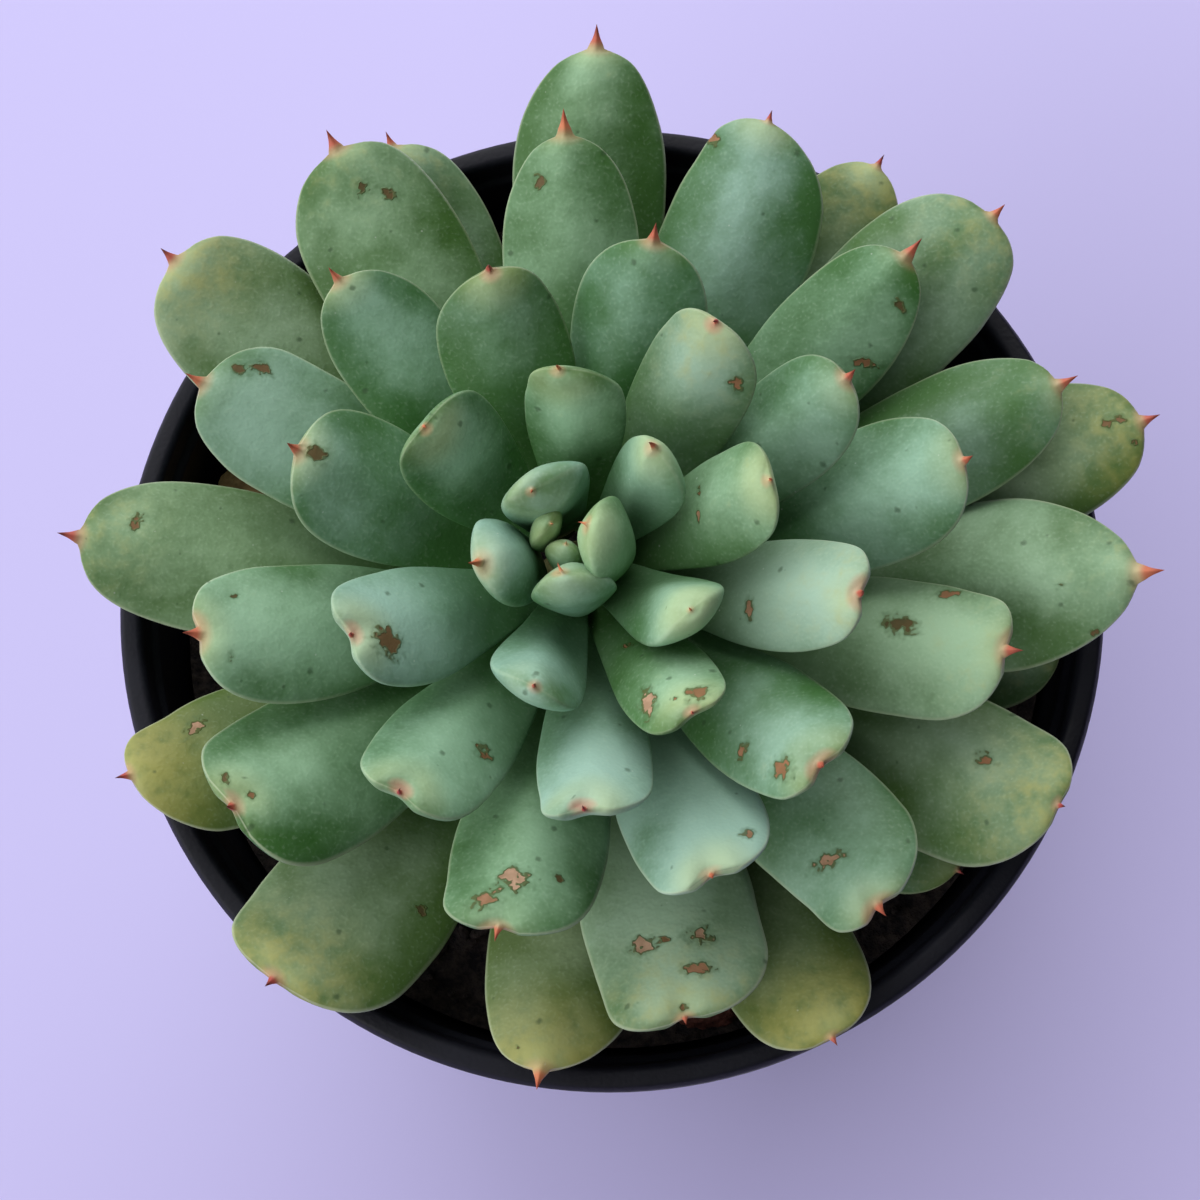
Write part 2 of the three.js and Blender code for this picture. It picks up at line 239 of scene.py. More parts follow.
# %% The leaves' looks
LOOKS = [
    (2.2, 0.1, 0.2, 0.0, 1.0, 1.0, 0, 0),
    (2.2, 0.1, 0.3, 0.3, 2.2, 0.6, 0, 0),
    (2.0, 0.2, 0.5, 0.15, 1.6, 1.0, 0, 0),
    (2.2, 0.1, 0.3, 0.3, 2.0, 0.6, 0, 0),
    (2.3, 0.1, 0.5, 0.28, 2.2, 0.7, 0, 0),
    (2.2, 0.3, 0.75, 0.25, 2.6, 0.0, 0, 0),
    (2.3, 0.2, 0.75, 0.15, 1.8, 0.9, 0, 0.2),
    (2.7, 0.1, 0.7, 0.05, 1.4, 0.7, 0, 0.2),
    (2.5, 0.1, 0.5, 0.3, 2.2, 0.8, 0, 0),
    (3.1, 0.2, 0.55, 0.2, 1.8, 0.9, 0, 0.2),
    (2.1, 0.3, 0.15, 0.3, 2.8, 0.6, 0, 0),
    (1.8, 0.4, 0.25, 0.45, 3.0, 0.3, 0, 0),
    (2.2, 0.3, 0.35, 0.55, 2.6, 0.8, 0, 0),
    (2.5, 0.1, 0.35, 0.4, 2.0, 0.4, 0, 0),
    (2.6, 0.3, 0.45, 0.35, 1.2, 1.0, 20, 0.4),
    (2.4, 0.1, 0.25, 0.28, 2.6, 0.6, 0, 0),
    (2.2, 0.4, 0.2, 0.15, 2.4, 0.5, 0, 0),
    (2.2, 0.3, 0.1, 0.22, 1.4, 0.8, 0, 0),
    (3.3, 0.1, 0.4, 0.7, 1.2, 0.5, -10, 0.8),
    (2.4, 0.3, 0.1, 0.65, 2.4, 0.2, 0, 0),
    (2.2, 0.4, 0.0, 0.35, 2.8, 0.5, 0, 0),
    (3.2, 0.3, 0.05, 0.4, 1.6, 0.8, 20, 0.8),
    (2.8, 0.2, 0.1, 0.55, 2.0, 0.4, -10, 1.1),
    (2.0, 0.5, 0.1, 0.45, 3.0, 0.1, 0, 0),
    (3.2, 0.2, 0.25, 0.65, 2.4, 0.6, 0, 0.6),
    (2.6, 0.2, 0.05, 0.5, 2.4, 0.4, 0, 0.8),
    (3.2, 0.2, 0.05, 0.62, 1.8, 0.4, -50, 0.8),
    (2.5, 0.3, 0.0, 0.55, 1.8, 0.4, 20, 0.2),
    (2.2, 0.4, 0.0, 0.3, 2.2, 0.3, 0, 0),
    (3.0, 0.3, 0.1, 1.0, 1.2, 0.3, 0, 1.3),
    (2.2, 0.5, 0.0, 0.35, 2.4, 0.5, 0, 0),
    (2.4, 0.4, 0.05, 0.3, 2.2, 0.4, 10, 0),
    (2.3, 0.4, 0.05, 0.5, 2.0, 0.6, 10, 0.2),
    (2.8, 0.3, 0.1, 0.4, 1.6, 0.6, 10, 1.4),
    (2.3, 0.5, 0.1, 0.1, 1.6, 0.9, 50, 0),
    (2.8, 0.3, 0.0, 0.6, 1.2, 1.0, 60, 1.2),
    (2.7, 0.3, 0.3, 1.0, 1.8, 0.7, 30, 1.1),
    (3.0, 0.4, 0.1, 0.8, 1.2, 1.0, 50, 1.3),
    (2.4, 0.4, 0.3, 0.6, 1.2, 0.9, 60, 0.2),
    (2.9, 0.3, 0.0, 0.8, 1.2, 0.9, 50, 1.2),
    (2.7, 0.4, 0.0, 0.4, 0.9, 0.0, 50, 0.2),
    (3.0, 0.4, 0.1, 0.35, 0.9, 0.8, 40, 1.0),
    (3.0, 0.4, 0.15, 0.45, 0.9, 0.1, 50, 0.2),
    (2.8, 0.5, 0.05, 0.4, 1.2, 0.0, 20, 0),
    (2.2, 0.6, 0.0, 0.8, 1.2, 0.8, -20, 0),
    (2.0, 0.6, 0.0, 0.6, 1.6, 0.5, 10, 0.0),
    (2.6, 0.4, 0.0, 0.6, 2.4, 0.1, 0, 0),
    (2.4, 0.6, 0.05, 0.75, 0.7, 0.0, 0, 0.2),
    (2.5, 0.4, 0.0, 0.5, 0.8, 0.3, 10, 0),
    (2.2, 0.5, 0.0, 0.5, 1.2, 0.0, 0, 0),
    (2.2, 0.5, 0.0, 0.6, 1.2, 0.0, 0, 0),
    (2.2, 0.2, 0.0, 0.3, 0.5, 0.0, 0, 0),
    (2.2, 0.2, 0.0, 0.3, 0.5, 0.0, 0, 0),
]
Leaf = namedtuple("Leaf", "azimuth reach rise width bend hook roll "
                          "blunt ridge olive bloom point_length dried curl notch")
plant = [Leaf(*place, *look) for place, look in zip(LEAVES, LOOKS)]
print("leaves:", len(plant))

# %% [markdown]
# A leaf's middle line is a curve that leaves the stem low, runs outwards and lifts its end towards the
# light. On all but the leaves of the heart its last stretch is nearly straight, so that the upper face
# shows right out to the end. Only the small point curls. The line is measured by its own length, so that
# rings can be spaced along it, and is then turned and stretched until its end is back in its place.

# %% The leaf's middle line
LINE_STEPS = 400
BEND_NEAR_STEM = 0.3
LEAVING, ARRIVING = 0.42, 0.28
FOOT_SINK = 2
STEM_GAP = 0.35
STRAIGHT_FROM = 0.5
END_TURN_KEPT = 0.5
HEART_FROM = 45
CURL_SPREAD = 1.4


def first_line(start, end, bend):
    """Points on a curve between two places, which turns by a number of degrees on its way."""
    span = math.hypot(*(end - start))
    lean = math.atan2(end[1] - start[1], end[0] - start[0])
    low = lean - math.radians(bend * BEND_NEAR_STEM)
    high = lean + math.radians(bend * (1 - BEND_NEAR_STEM))
    leaving = start + span * LEAVING * np.array((math.cos(low), math.sin(low)))
    arriving = end - span * ARRIVING * np.array((math.cos(high), math.sin(high)))
    t = np.linspace(0, 1, LINE_STEPS)[:, None]
    s = 1 - t
    return start * s ** 3 + 3 * leaving * t * s ** 2 + 3 * arriving * t * t * s + end * t ** 3


def middle_line(leaf, foot, turn_kept):
    """The line's length, and a function from a share of it to points and directions (x out, z up)."""
    start = np.array((stem_radius(foot - FOOT_SINK) + STEM_GAP, foot))
    end = np.array((leaf.reach, leaf.rise))
    steps = np.diff(first_line(start, end, leaf.bend), axis=0)
    run = np.concatenate(([0], np.cumsum(np.hypot(*steps.T))))
    length = run[-1]
    heading = np.interp(run, (run[1:] + run[:-1]) / 2, np.arctan2(steps[:, 1], steps[:, 0]))
    straight = np.interp(STRAIGHT_FROM * length, run, heading)
    past = run > STRAIGHT_FROM * length
    heading = np.where(past, straight + (heading - straight) * turn_kept, heading)
    curl_length = leaf.point_length * CURL_SPREAD
    heading += math.radians(leaf.curl) * smooth((run - (length - curl_length)) / curl_length)
    middle = (heading[1:] + heading[:-1]) / 2
    path = np.concatenate(([0], np.cumsum(np.diff(run) * np.exp(1j * middle))))
    fit = complex(*(end - start)) / path[-1]
    line = start + np.stack(((path * fit).real, (path * fit).imag), axis=1)
    heading += math.atan2(fit.imag, fit.real)

    def at(share):
        place = np.clip(share, 0, 1) * length
        x, z, turn = (np.interp(place, run, values) for values in (line[:, 0], line[:, 1], heading))
        return x, z, np.cos(turn), np.sin(turn)

    return length, at


print("the oldest leaf is", round(middle_line(plant[0], LOWEST_LEAF, END_TURN_KEPT)[0], 1), "mm long")

# %% [markdown]
# The blade's outline and its fatness are two short formulas. The point is a thin cone whose foot flares
# into the blade, as a drop is drawn out, so the two are blended by a rounded maximum. The pairs run from
# the oldest leaf to the youngest: young ones are broad at the base, fat for their width and blunt.

# %% The leaf's outline and fatness
WIDEST_AT = (0.74, 0.68)
BASE_WIDTH = (0.22, 0.54)
THICKEST_AT = 0.6
BASE_THICKNESS = 0.4
CORNER_ROUNDING = 2.6


def outline(share, age, blunt):
    """Half the blade's width, as a share of its widest."""
    widest = mix(WIDEST_AT, age)
    rising = mix((mix(BASE_WIDTH, age * age), 1), smooth(share / widest))
    past = np.clip((share - widest) / (1 - widest), 0, 1)
    return np.where(share < widest, rising, (1 - past ** blunt) ** (1 / blunt))


def fatness(share, blunt):
    """The blade's thickness, as a share of its thickest."""
    rising = mix((BASE_THICKNESS, 1), smooth(share / THICKEST_AT))
    past = np.clip((share - THICKEST_AT) / (1 - THICKEST_AT), 0, 1)
    return np.where(share < THICKEST_AT, rising, (1 - past ** blunt) ** (1 / blunt))


def with_point(blade, cone):
    """The larger of blade and point, with a rounded inner corner where they meet."""
    return (blade ** CORNER_ROUNDING + cone ** CORNER_ROUNDING) ** (1 / CORNER_ROUNDING)


print("width halfway along an old leaf:", round(float(outline(0.5, 0, 2)), 2), "of its widest")

# %% [markdown]
# With these, a leaf's half width and its height above and below the middle line follow for every ring.
# The leaves of the heart are plumper than the rest, and more of a leaf's thickness lies above the line
# towards its end, which makes the base hollow and the end full.

# %% The leaf's width and thickness
THICKNESS = (0.28, 0.36)
TOP_SHARE = (0.18, 0.62)
TOP_SHARE_GROWS = 1.4
YOUNG_FROM, YOUNG_OVER = 0.78, 0.12
YOUNG_SWELL = 0.16
END_BLUNTNESS = (2.4, 3.4)
USUAL_WIDTH = 16
POINT_SLOPE, POINT_SLOPE_UP, POINT_FOOT = 0.26, 0.25, 2.2
FLARE, FLARE_UP = 0.0085, 0.3
FLARE_FROM, FLARE_REACH = 0.35, 3.2


def youth(age):
    """How far a leaf still is one of the heart, from 0 to 1."""
    return smooth((age - YOUNG_FROM) / YOUNG_OVER)


def half_sizes(leaf, age, share, from_tip):
    """Half the leaf's width, and how far it stands above and below its middle line."""
    flare = leaf.width * FLARE * np.clip(from_tip - leaf.point_length * FLARE_FROM, 0, FLARE_REACH) ** 2
    near_tip = np.minimum(from_tip, POINT_FOOT)
    cone = POINT_SLOPE * near_tip * (leaf.width / USUAL_WIDTH) ** 0.5 + flare
    cone_up = POINT_SLOPE_UP * near_tip + flare * FLARE_UP
    blade = np.clip(share, 0, 1)
    inside = np.where(share < 1, 1, 0)
    half = with_point(leaf.width / 2 * outline(blade, age, leaf.blunt) * inside, cone)
    thick = leaf.width * (mix(THICKNESS, age) + YOUNG_SWELL * youth(age))
    thick = thick * fatness(blade, mix(END_BLUNTNESS, youth(age))) * inside
    crown = mix(TOP_SHARE, smooth(blade * TOP_SHARE_GROWS))
    return half, with_point(thick * crown, cone_up), with_point(thick * (1 - crown), cone_up)


print("the oldest leaf is", round(plant[0].width * THICKNESS[0], 1), "mm thick")

# %% [markdown]
# The upper face has a soft ridge along its middle and the base is cupped. The lower face is round, with a
# faint keel on the youngest leaves.

# %% The leaf's faces
RIDGE_ROUNDING = 0.3
LEAST_RIDGE = 0.3
KEEL = 0.35
CUP_DEPTH = 0.1
CUP_GROWS, CUP_FADES = 4, 1.4


def face_heights(leaf, age, share, around, above, below):
    """How far each point stands off the leaf's middle surface."""
    across, up, open_end = around
    soft = math.hypot(1, RIDGE_ROUNDING)
    tent = (soft - np.hypot(across, RIDGE_ROUNDING)) / (soft - RIDGE_ROUNDING) * open_end
    top = mix((up, tent), min(leaf.ridge + LEAST_RIDGE * (1 - youth(age)), 1))
    keel = mix((up, -tent), youth(age) * KEEL)
    cup = leaf.width * CUP_DEPTH * np.clip(1 - share * CUP_FADES, 0, 1) * smooth(share * CUP_GROWS)
    return np.where(up > 0, top * above, keel * below) + cup * across * across


print("the cup is up to", round(max(leaf.width for leaf in plant) * CUP_DEPTH, 1), "mm deep")

# %% [markdown]
# The flat leaf is then set on its middle line, rolled and hooked as its row says. At the stem its rings
# lie level and turn square to the line within the first quarter. Beside a notched point the end grows on
# in two low lobes.

# %% The leaf on its line
ROLL_GROWS = 2
SQUARE_AT = 0.25
HOOK_FROM = 0.85
LOBE_SIDE, LOBE_FROM, LOBE_OVER = 2.4, 0.8, 0.15


def set_on_line(leaf, body, share, track, flat, lift):
    """The leaf's points with x outwards, y aside and z up, from its flat width and its height."""
    x, z, along_x, along_z = track
    tilt = math.radians(leaf.roll) * smooth(share * ROLL_GROWS)
    square = smooth(share / SQUARE_AT)
    normal_x, normal_z = -along_z * square, mix((np.ones_like(square), along_x), square)
    size = np.hypot(normal_x, normal_z)
    aside = leaf.hook * smooth((share - HOOK_FROM) / (1 / body - HOOK_FROM))
    raised = flat * np.sin(tilt) + lift * np.cos(tilt)
    lobes = leaf.notch * smooth(np.abs(flat) / LOBE_SIDE) * smooth((share - LOBE_FROM) / LOBE_OVER)
    return np.stack((
        x + normal_x / size * raised + along_x * lobes,
        flat * np.cos(tilt) - lift * np.sin(tilt) + aside,
        z + normal_z / size * raised + along_z * lobes,
    ), axis=1)


print("notched leaves:", sum(leaf.notch > 0 for leaf in plant))

# %% [markdown]
# Each leaf gets a few gentle swells from smooth noise, as flesh that has grown against its neighbours,
# and is turned to its azimuth round the stem.

# %% Swells and azimuth
SWELL = 0.28
SWELL_SPACING = 7.5
SWELL_FROM, SWELL_UNTIL = 3, 6
SEED_STEPS = (17.3, 5.1)


def swelled(order, place, share, from_tip, outward):
    """The same points, pushed in or out a little."""
    seed = Vector((order * SEED_STEPS[0], order * SEED_STEPS[1], 0))
    push = np.array([noise.noise(Vector(point) / SWELL_SPACING + seed) for point in place])
    push = push * SWELL * smooth(share * SWELL_FROM) * smooth(from_tip / SWELL_UNTIL)
    return place + outward * push[:, None]


def round_the_stem(place, azimuth):
    """The same points, turned to the azimuth and moved to the plant's place, in metres."""
    cosine, sine = math.cos(math.radians(azimuth)), math.sin(math.radians(azimuth))
    turn = np.array(((cosine, -sine, 0), (sine, cosine, 0), (0, 0, 1)))
    return (place @ turn.T + np.array(PLANT)) * MM


print("swells up to", SWELL, "mm")

# %% [markdown]
# The ball's rings become the leaf's cross-sections, closer together towards the point. A point's place
# on the ball says how far along, across and up on the leaf it belongs. Facts that the finish needs are
# kept on the points: how far along and across, how far from the sharp end, the leaf's age and looks. The
# UV map is in millimetres, across and along the blade.

# %% From ball to leaf
LEAF_SIDES = 48
LEAF_RINGS = 84
RING_CROWDING = 1.7
POLE = 1e-4


def leaf_ball(name):
    """A ball as a mesh, and its points as rows."""
    mesh = bpy.data.meshes.new(name)
    ball = bmesh.new()
    bmesh.ops.create_uvsphere(ball, u_segments=LEAF_SIDES, v_segments=LEAF_RINGS, radius=1)
    ball.to_mesh(mesh)
    ball.free()
    points = np.zeros(len(mesh.vertices) * 3)
    mesh.vertices.foreach_get("co", points)
    return mesh, points.reshape(-1, 3)


def place_on_ball(points):
    """How far along, across and up each point is, and 0 instead of 1 at the ball's two ends."""
    ring = np.arccos(np.clip(points[:, 2], -1, 1)) / math.pi
    angle = np.arctan2(points[:, 1], points[:, 0])
    open_end = np.where((ring < POLE) | (ring > 1 - POLE), 0, 1)
    return 1 - ring ** RING_CROWDING, np.cos(angle) * open_end, np.sin(angle) * open_end, open_end


def keep_facts(mesh, facts, flat_map):
    """Stores named facts on the mesh's points, and a flat map in millimetres as its UV map."""
    for name, values in facts.items():
        values = np.broadcast_to(values, len(mesh.vertices)).astype(np.float32)
        mesh.attributes.new(name, "FLOAT", "POINT").data.foreach_set("value", values)
    corner_point = np.zeros(len(mesh.loops), int)
    mesh.loops.foreach_get("vertex_index", corner_point)
    mesh.uv_layers.new(name="blade_mm").data.foreach_set("uv", flat_map[corner_point].ravel())


print("points round a leaf:", LEAF_SIDES, "and along it:", LEAF_RINGS)

# %% [markdown]
# Now every leaf is made, from the lowest to the innermost. Its seeded tint is drawn here, and a distance
# far beyond any scar is kept until the scars are placed.

# %% The leaves
UV_STEP = 40
NO_SCAR = 9.0
leaf_draw = random.Random(11)


def leaf_piece(order, leaf):
    """A leaf's object, with its mesh in place and its facts on it."""
    mesh, points = leaf_ball("leaf_%02d_blade" % (order + 1))
    t, across, up, open_end = place_on_ball(points)
    age = order / (len(plant) - 1)
    turn_kept = END_TURN_KEPT if order + 1 < HEART_FROM else 1
    length, line = middle_line(leaf, mix((LOWEST_LEAF, HIGHEST_LEAF), age), turn_kept)
    body = 1 - leaf.point_length / length
    share, from_tip = t / body, (1 - t) * length
    half, above, below = half_sizes(leaf, age, share, from_tip)
    flat = across * half
    lift = face_heights(leaf, age, share, (across, up, open_end), above, below)
    track = line(t)
    place = set_on_line(leaf, body, share, track, flat, lift)
    to_point = np.linalg.norm(place - place[np.argmax(t)], axis=1)
    outward = np.stack((-track[3] * up, across, track[2] * up), axis=1)
    place = swelled(order, place, share, from_tip, outward)
    mesh.vertices.foreach_set("co", round_the_stem(place, leaf.azimuth).ravel())

    keep_facts(mesh, {
        "along": share, "to_point": to_point, "on_point": to_point / leaf.point_length,
        "margin": np.abs(across), "age": age, "olive": leaf.olive, "bloom": leaf.bloom, "dried": leaf.dried,
        "tint": leaf_draw.uniform(-1, 1), "scar": NO_SCAR, "tone": 0.0,
    }, np.stack((flat + UV_STEP * order, t * length), axis=1))
    closed = bmesh.new()
    closed.from_mesh(mesh)
    bmesh.ops.recalc_face_normals(closed, faces=closed.faces)
    closed.to_mesh(mesh)
    closed.free()
    mesh.shade_smooth()
    piece = bpy.data.objects.new(mesh.name, mesh)
    bpy.context.scene.collection.objects.link(piece)
    return piece


leaves = [leaf_piece(order, leaf) for order, leaf in enumerate(plant)]
print("leaf triangles:", sum(2 * len(leaf.data.polygons) for leaf in leaves))

# %% [markdown]
# Old wounds have healed to small corky scars, pale pink to brown, each with a dark green rim. They are
# placed by the pixel where the photograph shows them: a ray from the camera finds the spot on its leaf,
# and every point near it then knows how far away it is, in shares of the scar's size. A row has the
# leaf's number, the pixel, the scar's length and width in millimetres, its turn in degrees, and its tone
# from pale to dark.

# %% Scars
SCARS = [
    (42, 647, 704, 3.2, 1.9, 75, 0.1),
    (42, 698, 692, 2.0, 1.7, 0, 0.6),
    (42, 628, 645, 1.1, 0.7, 20, 0.6),
    (42, 675, 698, 0.5, 0.4, 0, 0.5),
    (37, 749, 608, 2.0, 0.9, 90, 0.3),
    (34, 742, 752, 1.9, 1.0, 120, 0.4),
    (34, 781, 769, 2.2, 1.8, 40, 0.45),
    (36, 484, 752, 1.7, 1.4, 60, 0.6),
    (43, 698, 516, 1.3, 0.5, 90, 0.3),
    (43, 699, 491, 1.0, 0.5, 90, 0.7),
    (40, 389, 641, 3.0, 2.4, 30, 0.75),
    (19, 642, 946, 2.2, 1.7, 30, 0.15),
    (19, 664, 939, 1.0, 0.8, 0, 0.7),
    (19, 700, 936, 2.0, 1.8, 0, 0.2),
    (19, 697, 968, 2.5, 1.3, 0, 0.4),
    (19, 684, 1007, 0.8, 0.6, 0, 0.7),
    (19, 634, 1004, 0.5, 0.4, 0, 0.6),
    (27, 513, 879, 2.5, 2.2, 20, 0.1),
    (27, 485, 898, 2.6, 1.6, 150, 0.35),
    (27, 559, 878, 1.0, 0.9, 0, 1.0),
    (30, 748, 834, 1.5, 1.1, 110, 0.3),
    (6, 517, 1047, 0.5, 0.4, 0, 0.7),
    (13, 137, 521, 1.7, 1.2, 120, 0.7),
    (13, 231, 568, 0.8, 0.6, 0, 0.3),
    (26, 280, 614, 0.5, 0.4, 0, 0.5),
    (26, 231, 656, 1.0, 0.7, 90, 0.9),
    (26, 234, 595, 0.9, 0.6, 0, 0.9),
    (7, 195, 727, 2.4, 1.3, 120, 0.2),
    (22, 227, 779, 1.1, 0.9, 40, 0.8),
    (22, 251, 795, 1.0, 0.8, 0, 0.6),
    (32, 317, 453, 1.9, 1.5, 40, 0.9),
    (23, 828, 860, 3.0, 1.4, 160, 0.25),
    (15, 985, 758, 1.8, 1.4, 60, 0.5),
    (25, 900, 625, 3.0, 1.8, 30, 0.95),
    (25, 949, 594, 2.4, 0.9, 0, 0.6),
    (10, 421, 911, 1.4, 1.1, 0, 1.0),
    (20, 240, 370, 1.3, 1.0, 30, 0.8),
    (20, 261, 367, 1.9, 1.3, 20, 0.75),
    (16, 362, 188, 1.6, 0.9, 100, 0.9),
    (16, 389, 193, 1.9, 1.1, 20, 0.8),
    (24, 540, 181, 1.6, 1.1, 100, 0.8),
    (18, 712, 137, 1.9, 1.2, 80, 0.4),
    (39, 737, 384, 1.6, 1.3, 90, 0.45),
    (21, 900, 306, 1.7, 0.9, 60, 0.9),
    (21, 864, 364, 3.0, 0.9, 10, 0.45),
    (5, 1107, 424, 1.1, 0.8, 30, 0.7),
    (5, 1121, 419, 1.1, 0.8, 30, 0.7),
    (5, 1135, 442, 0.9, 0.7, 0, 0.7),
    (12, 1060, 587, 0.9, 0.7, 0, 0.8),
    (12, 1095, 632, 0.9, 0.7, 0, 0.8),
]
SCAR_DENT = 0.16
SCAR_DEPTH = 2


def scar_distance(points, spot, facing, row):
    """How far each point lies from a scar's middle, in shares of the scar's size."""
    scar_length, scar_width, turn = row
    side = rightwards.cross(facing).normalized()
    ahead = facing.cross(side)
    lengthwise = ahead * math.cos(math.radians(turn)) + side * math.sin(math.radians(turn))
    crosswise = facing.cross(lengthwise)
    away = (points - np.array(spot)) / MM
    return np.sqrt(
        (away @ np.array(lengthwise) / (scar_length / 2)) ** 2
        + (away @ np.array(crosswise) / (scar_width / 2)) ** 2
        + (away @ np.array(facing) / SCAR_DEPTH) ** 2
    )


for number, pixel_x, pixel_y, *row, tone in SCARS:
    mesh = leaves[number - 1].data
    points = np.zeros(len(mesh.vertices) * 3)
    mesh.vertices.foreach_get("co", points)
    points = points.reshape(-1, 3)
    surface = BVHTree.FromPolygons([Vector(p) for p in points], [p.vertices[:] for p in mesh.polygons])
    spot, facing, _, _ = surface.ray_cast(CAMERA_PLACE * MM, ray_through(pixel_x, pixel_y))
    distance = scar_distance(points, spot, facing, row)
    nearest = np.zeros(len(points), np.float32)
    tones = np.zeros(len(points), np.float32)
    mesh.attributes["scar"].data.foreach_get("value", nearest)
    mesh.attributes["tone"].data.foreach_get("value", tones)
    closer = distance < nearest
    nearest = np.where(closer, distance, nearest).astype(np.float32)
    mesh.attributes["scar"].data.foreach_set("value", nearest)
    mesh.attributes["tone"].data.foreach_set("value", np.where(closer, tone, tones).astype(np.float32))
    dent = np.clip(1 - distance, 0, 1) * SCAR_DENT * MM
    mesh.vertices.foreach_set("co", (points - dent[:, None] * np.array(facing)).ravel())
print("scars placed:", len(SCARS))

# %% [markdown]
# ## The leaf's finish
# Living epidermis, grown and not made. Fresh leaves are deep green under a pale powdery bloom of wax,
# which gives the eye their blue. Handling and rain rub it off in patches. One material does for all the
# leaves, because it reads what each point knows about itself.

# %% Leaf finish: facts and grains
BLOOM_PATCH = 10.0
MOTTLE = 1.7
GRAIN = 0.33
SCAR_GRAIN = 0.8
leaf_skin, tree = new_material("waxy_leaf_epidermis")
fact = {name: add_node(tree, "Attribute", out="Fac", attribute_name=name) for name in (
    "along", "to_point", "on_point", "margin", "age", "olive", "bloom", "dried", "tint", "scar", "tone")}
place = add_node(tree, "TexCoord", out="Object")
blade = add_node(tree, "UVMap", uv_map="blade_mm")
patches, mottle, grain, scar_grain = [
    add_node(tree, "TexNoise", {
        "Vector": place, "Scale": 1 / (spacing * MM), "Detail": detail, "Roughness": 0.6}, out="Fac")
    for spacing, detail in ((BLOOM_PATCH, 1.0), (MOTTLE, 2.0), (GRAIN, 0.0), (SCAR_GRAIN, 1.0))]
print("facts read:", len(fact))

# %% [markdown]
# Flesh and wax each run between two tints, so that no two leaves are quite alike, and turn olive with
# age. Wax is thickest on the middle of the outer half, and worn in blotches of three sizes; the paler
# middle is partly a painted highlight, and the thinner wax towards the base partly painted shade.

# %% Leaf finish: flesh and wax
tinted = add_node(tree, "MapRange", {0: fact["tint"], 1: -1, 2: 1}, interpolation_type="SMOOTHSTEP")
skin_colours = []
for one, other, aged in (("#37662b", "#40713a", "#5a6b30"), ("#9cc5a0", "#9cc2b4", "#a8b686")):
    fresh = add_node(tree, "Mix", {0: tinted, 6: linear(one), 7: linear(other)}, out=2, data_type="RGBA")
    skin_colours.append(add_node(
        tree, "Mix", {0: fact["olive"], 6: fresh, 7: linear(aged)}, out=2, data_type="RGBA"))
# More wax on the middle of the outer half is partly real bloom and partly a painted highlight; less wax
# towards the base is partly painted shade.
middle_part, outer_half, wax_thinning_and_base_shade = [
    add_node(tree, "MapRange", {0: fact[name], 1: low, 2: high, 3: least}, interpolation_type="SMOOTHSTEP")
    for name, low, high, least in (
        ("margin", 0.95, 0.2, 0.0), ("along", 0.3, 0.7, 0.0), ("along", 0.1, 0.9, 0.15))]
exposed_wax_and_highlight = add_node(tree, "Math", {0: middle_part, 1: outer_half}, operation="MULTIPLY")
kept = fact["bloom"]
for cause, usual, weight in (
        (patches, 0.5, 1.7), (exposed_wax_and_highlight, 0.6, 0.35), (mottle, 0.5, 0.45), (grain, 0.5, 0.15)):
    above_usual = add_node(tree, "Math", {0: cause, 1: usual}, operation="SUBTRACT")
    kept = add_node(tree, "Math", {0: above_usual, 1: weight, 2: kept}, operation="MULTIPLY_ADD")
kept = add_node(tree, "MapRange", {0: kept, 1: -0.25, 2: 1.15}, interpolation_type="SMOOTHSTEP")
kept = add_node(tree, "Math", {0: kept, 1: wax_thinning_and_base_shade}, operation="MULTIPLY", use_clamp=True)
colour = add_node(tree, "Mix", {0: kept, 6: skin_colours[0], 7: skin_colours[1]}, out=2, data_type="RGBA")
print("nodes so far:", len(tree.nodes))

# %% [markdown]
# Thinner layers follow, one over the other: pale specks of wax, deep green towards the base, partly its
# own colour and partly painted shade where it is never lit, yellow olive on old ends, paler flesh round
# every end, the thin pale margin, and the sharp point, which goes from salmon through red to a dried dark
# tip. A layer's row has its colour and the ranges of facts that bring it out.

# %% Leaf finish: layers over the skin
old_blotches = add_node(tree, "Math", {0: fact["olive"], 1: mottle}, operation="ADD")
point_colours = [
    add_node(tree, "Mix", {0: fact["dried"], 6: linear(fresh), 7: linear(dry)}, out=2, data_type="RGBA")
    for fresh, dry in (("#d3a67a", "#c98d76"), ("#cf7d55", "#b04a46"), ("#b5553a", "#4c1218"))]
LAYERS = [
    (linear("#bfd3b6"), [(grain, 0.62, 0.8, 0.0, 0.08)]),
    # Painted shade: deep green towards the leaf's base, stronger on old leaves, partly also its own colour.
    (linear("#28501f"), [(fact["along"], 0.68, 0.2, 0.0, 1.0), (fact["age"], 0.3, 0.9, 0.75, 0.15)]),
    (linear("#a9a356"), [(fact["to_point"], 14, 2, 0.0, 0.8), (old_blotches, 0.7, 1.4, 0.0, 1.0)]),
    (linear("#b3bd7d"), [(fact["to_point"], 6.0, 1.5, 0.0, 1.0), (patches, 0.35, 0.6, 0.1, 0.45)]),
    (linear("#cdd7b4"), [(fact["margin"], 0.955, 1.0, 0.0, 1.0), (fact["along"], 0.45, 0.8, 0.0, 1.0),
                         (fact["age"], 0.4, 0.9, 0.4, 0.08)]),
    (point_colours[0], [(fact["on_point"], 1.4, 0.85, 0.0, 0.55)]),
    (point_colours[1], [(fact["on_point"], 0.95, 0.6, 0.0, 1.0)]),
    (point_colours[2], [(fact["on_point"], 0.6, 0.15, 0.0, 1.0)]),
]
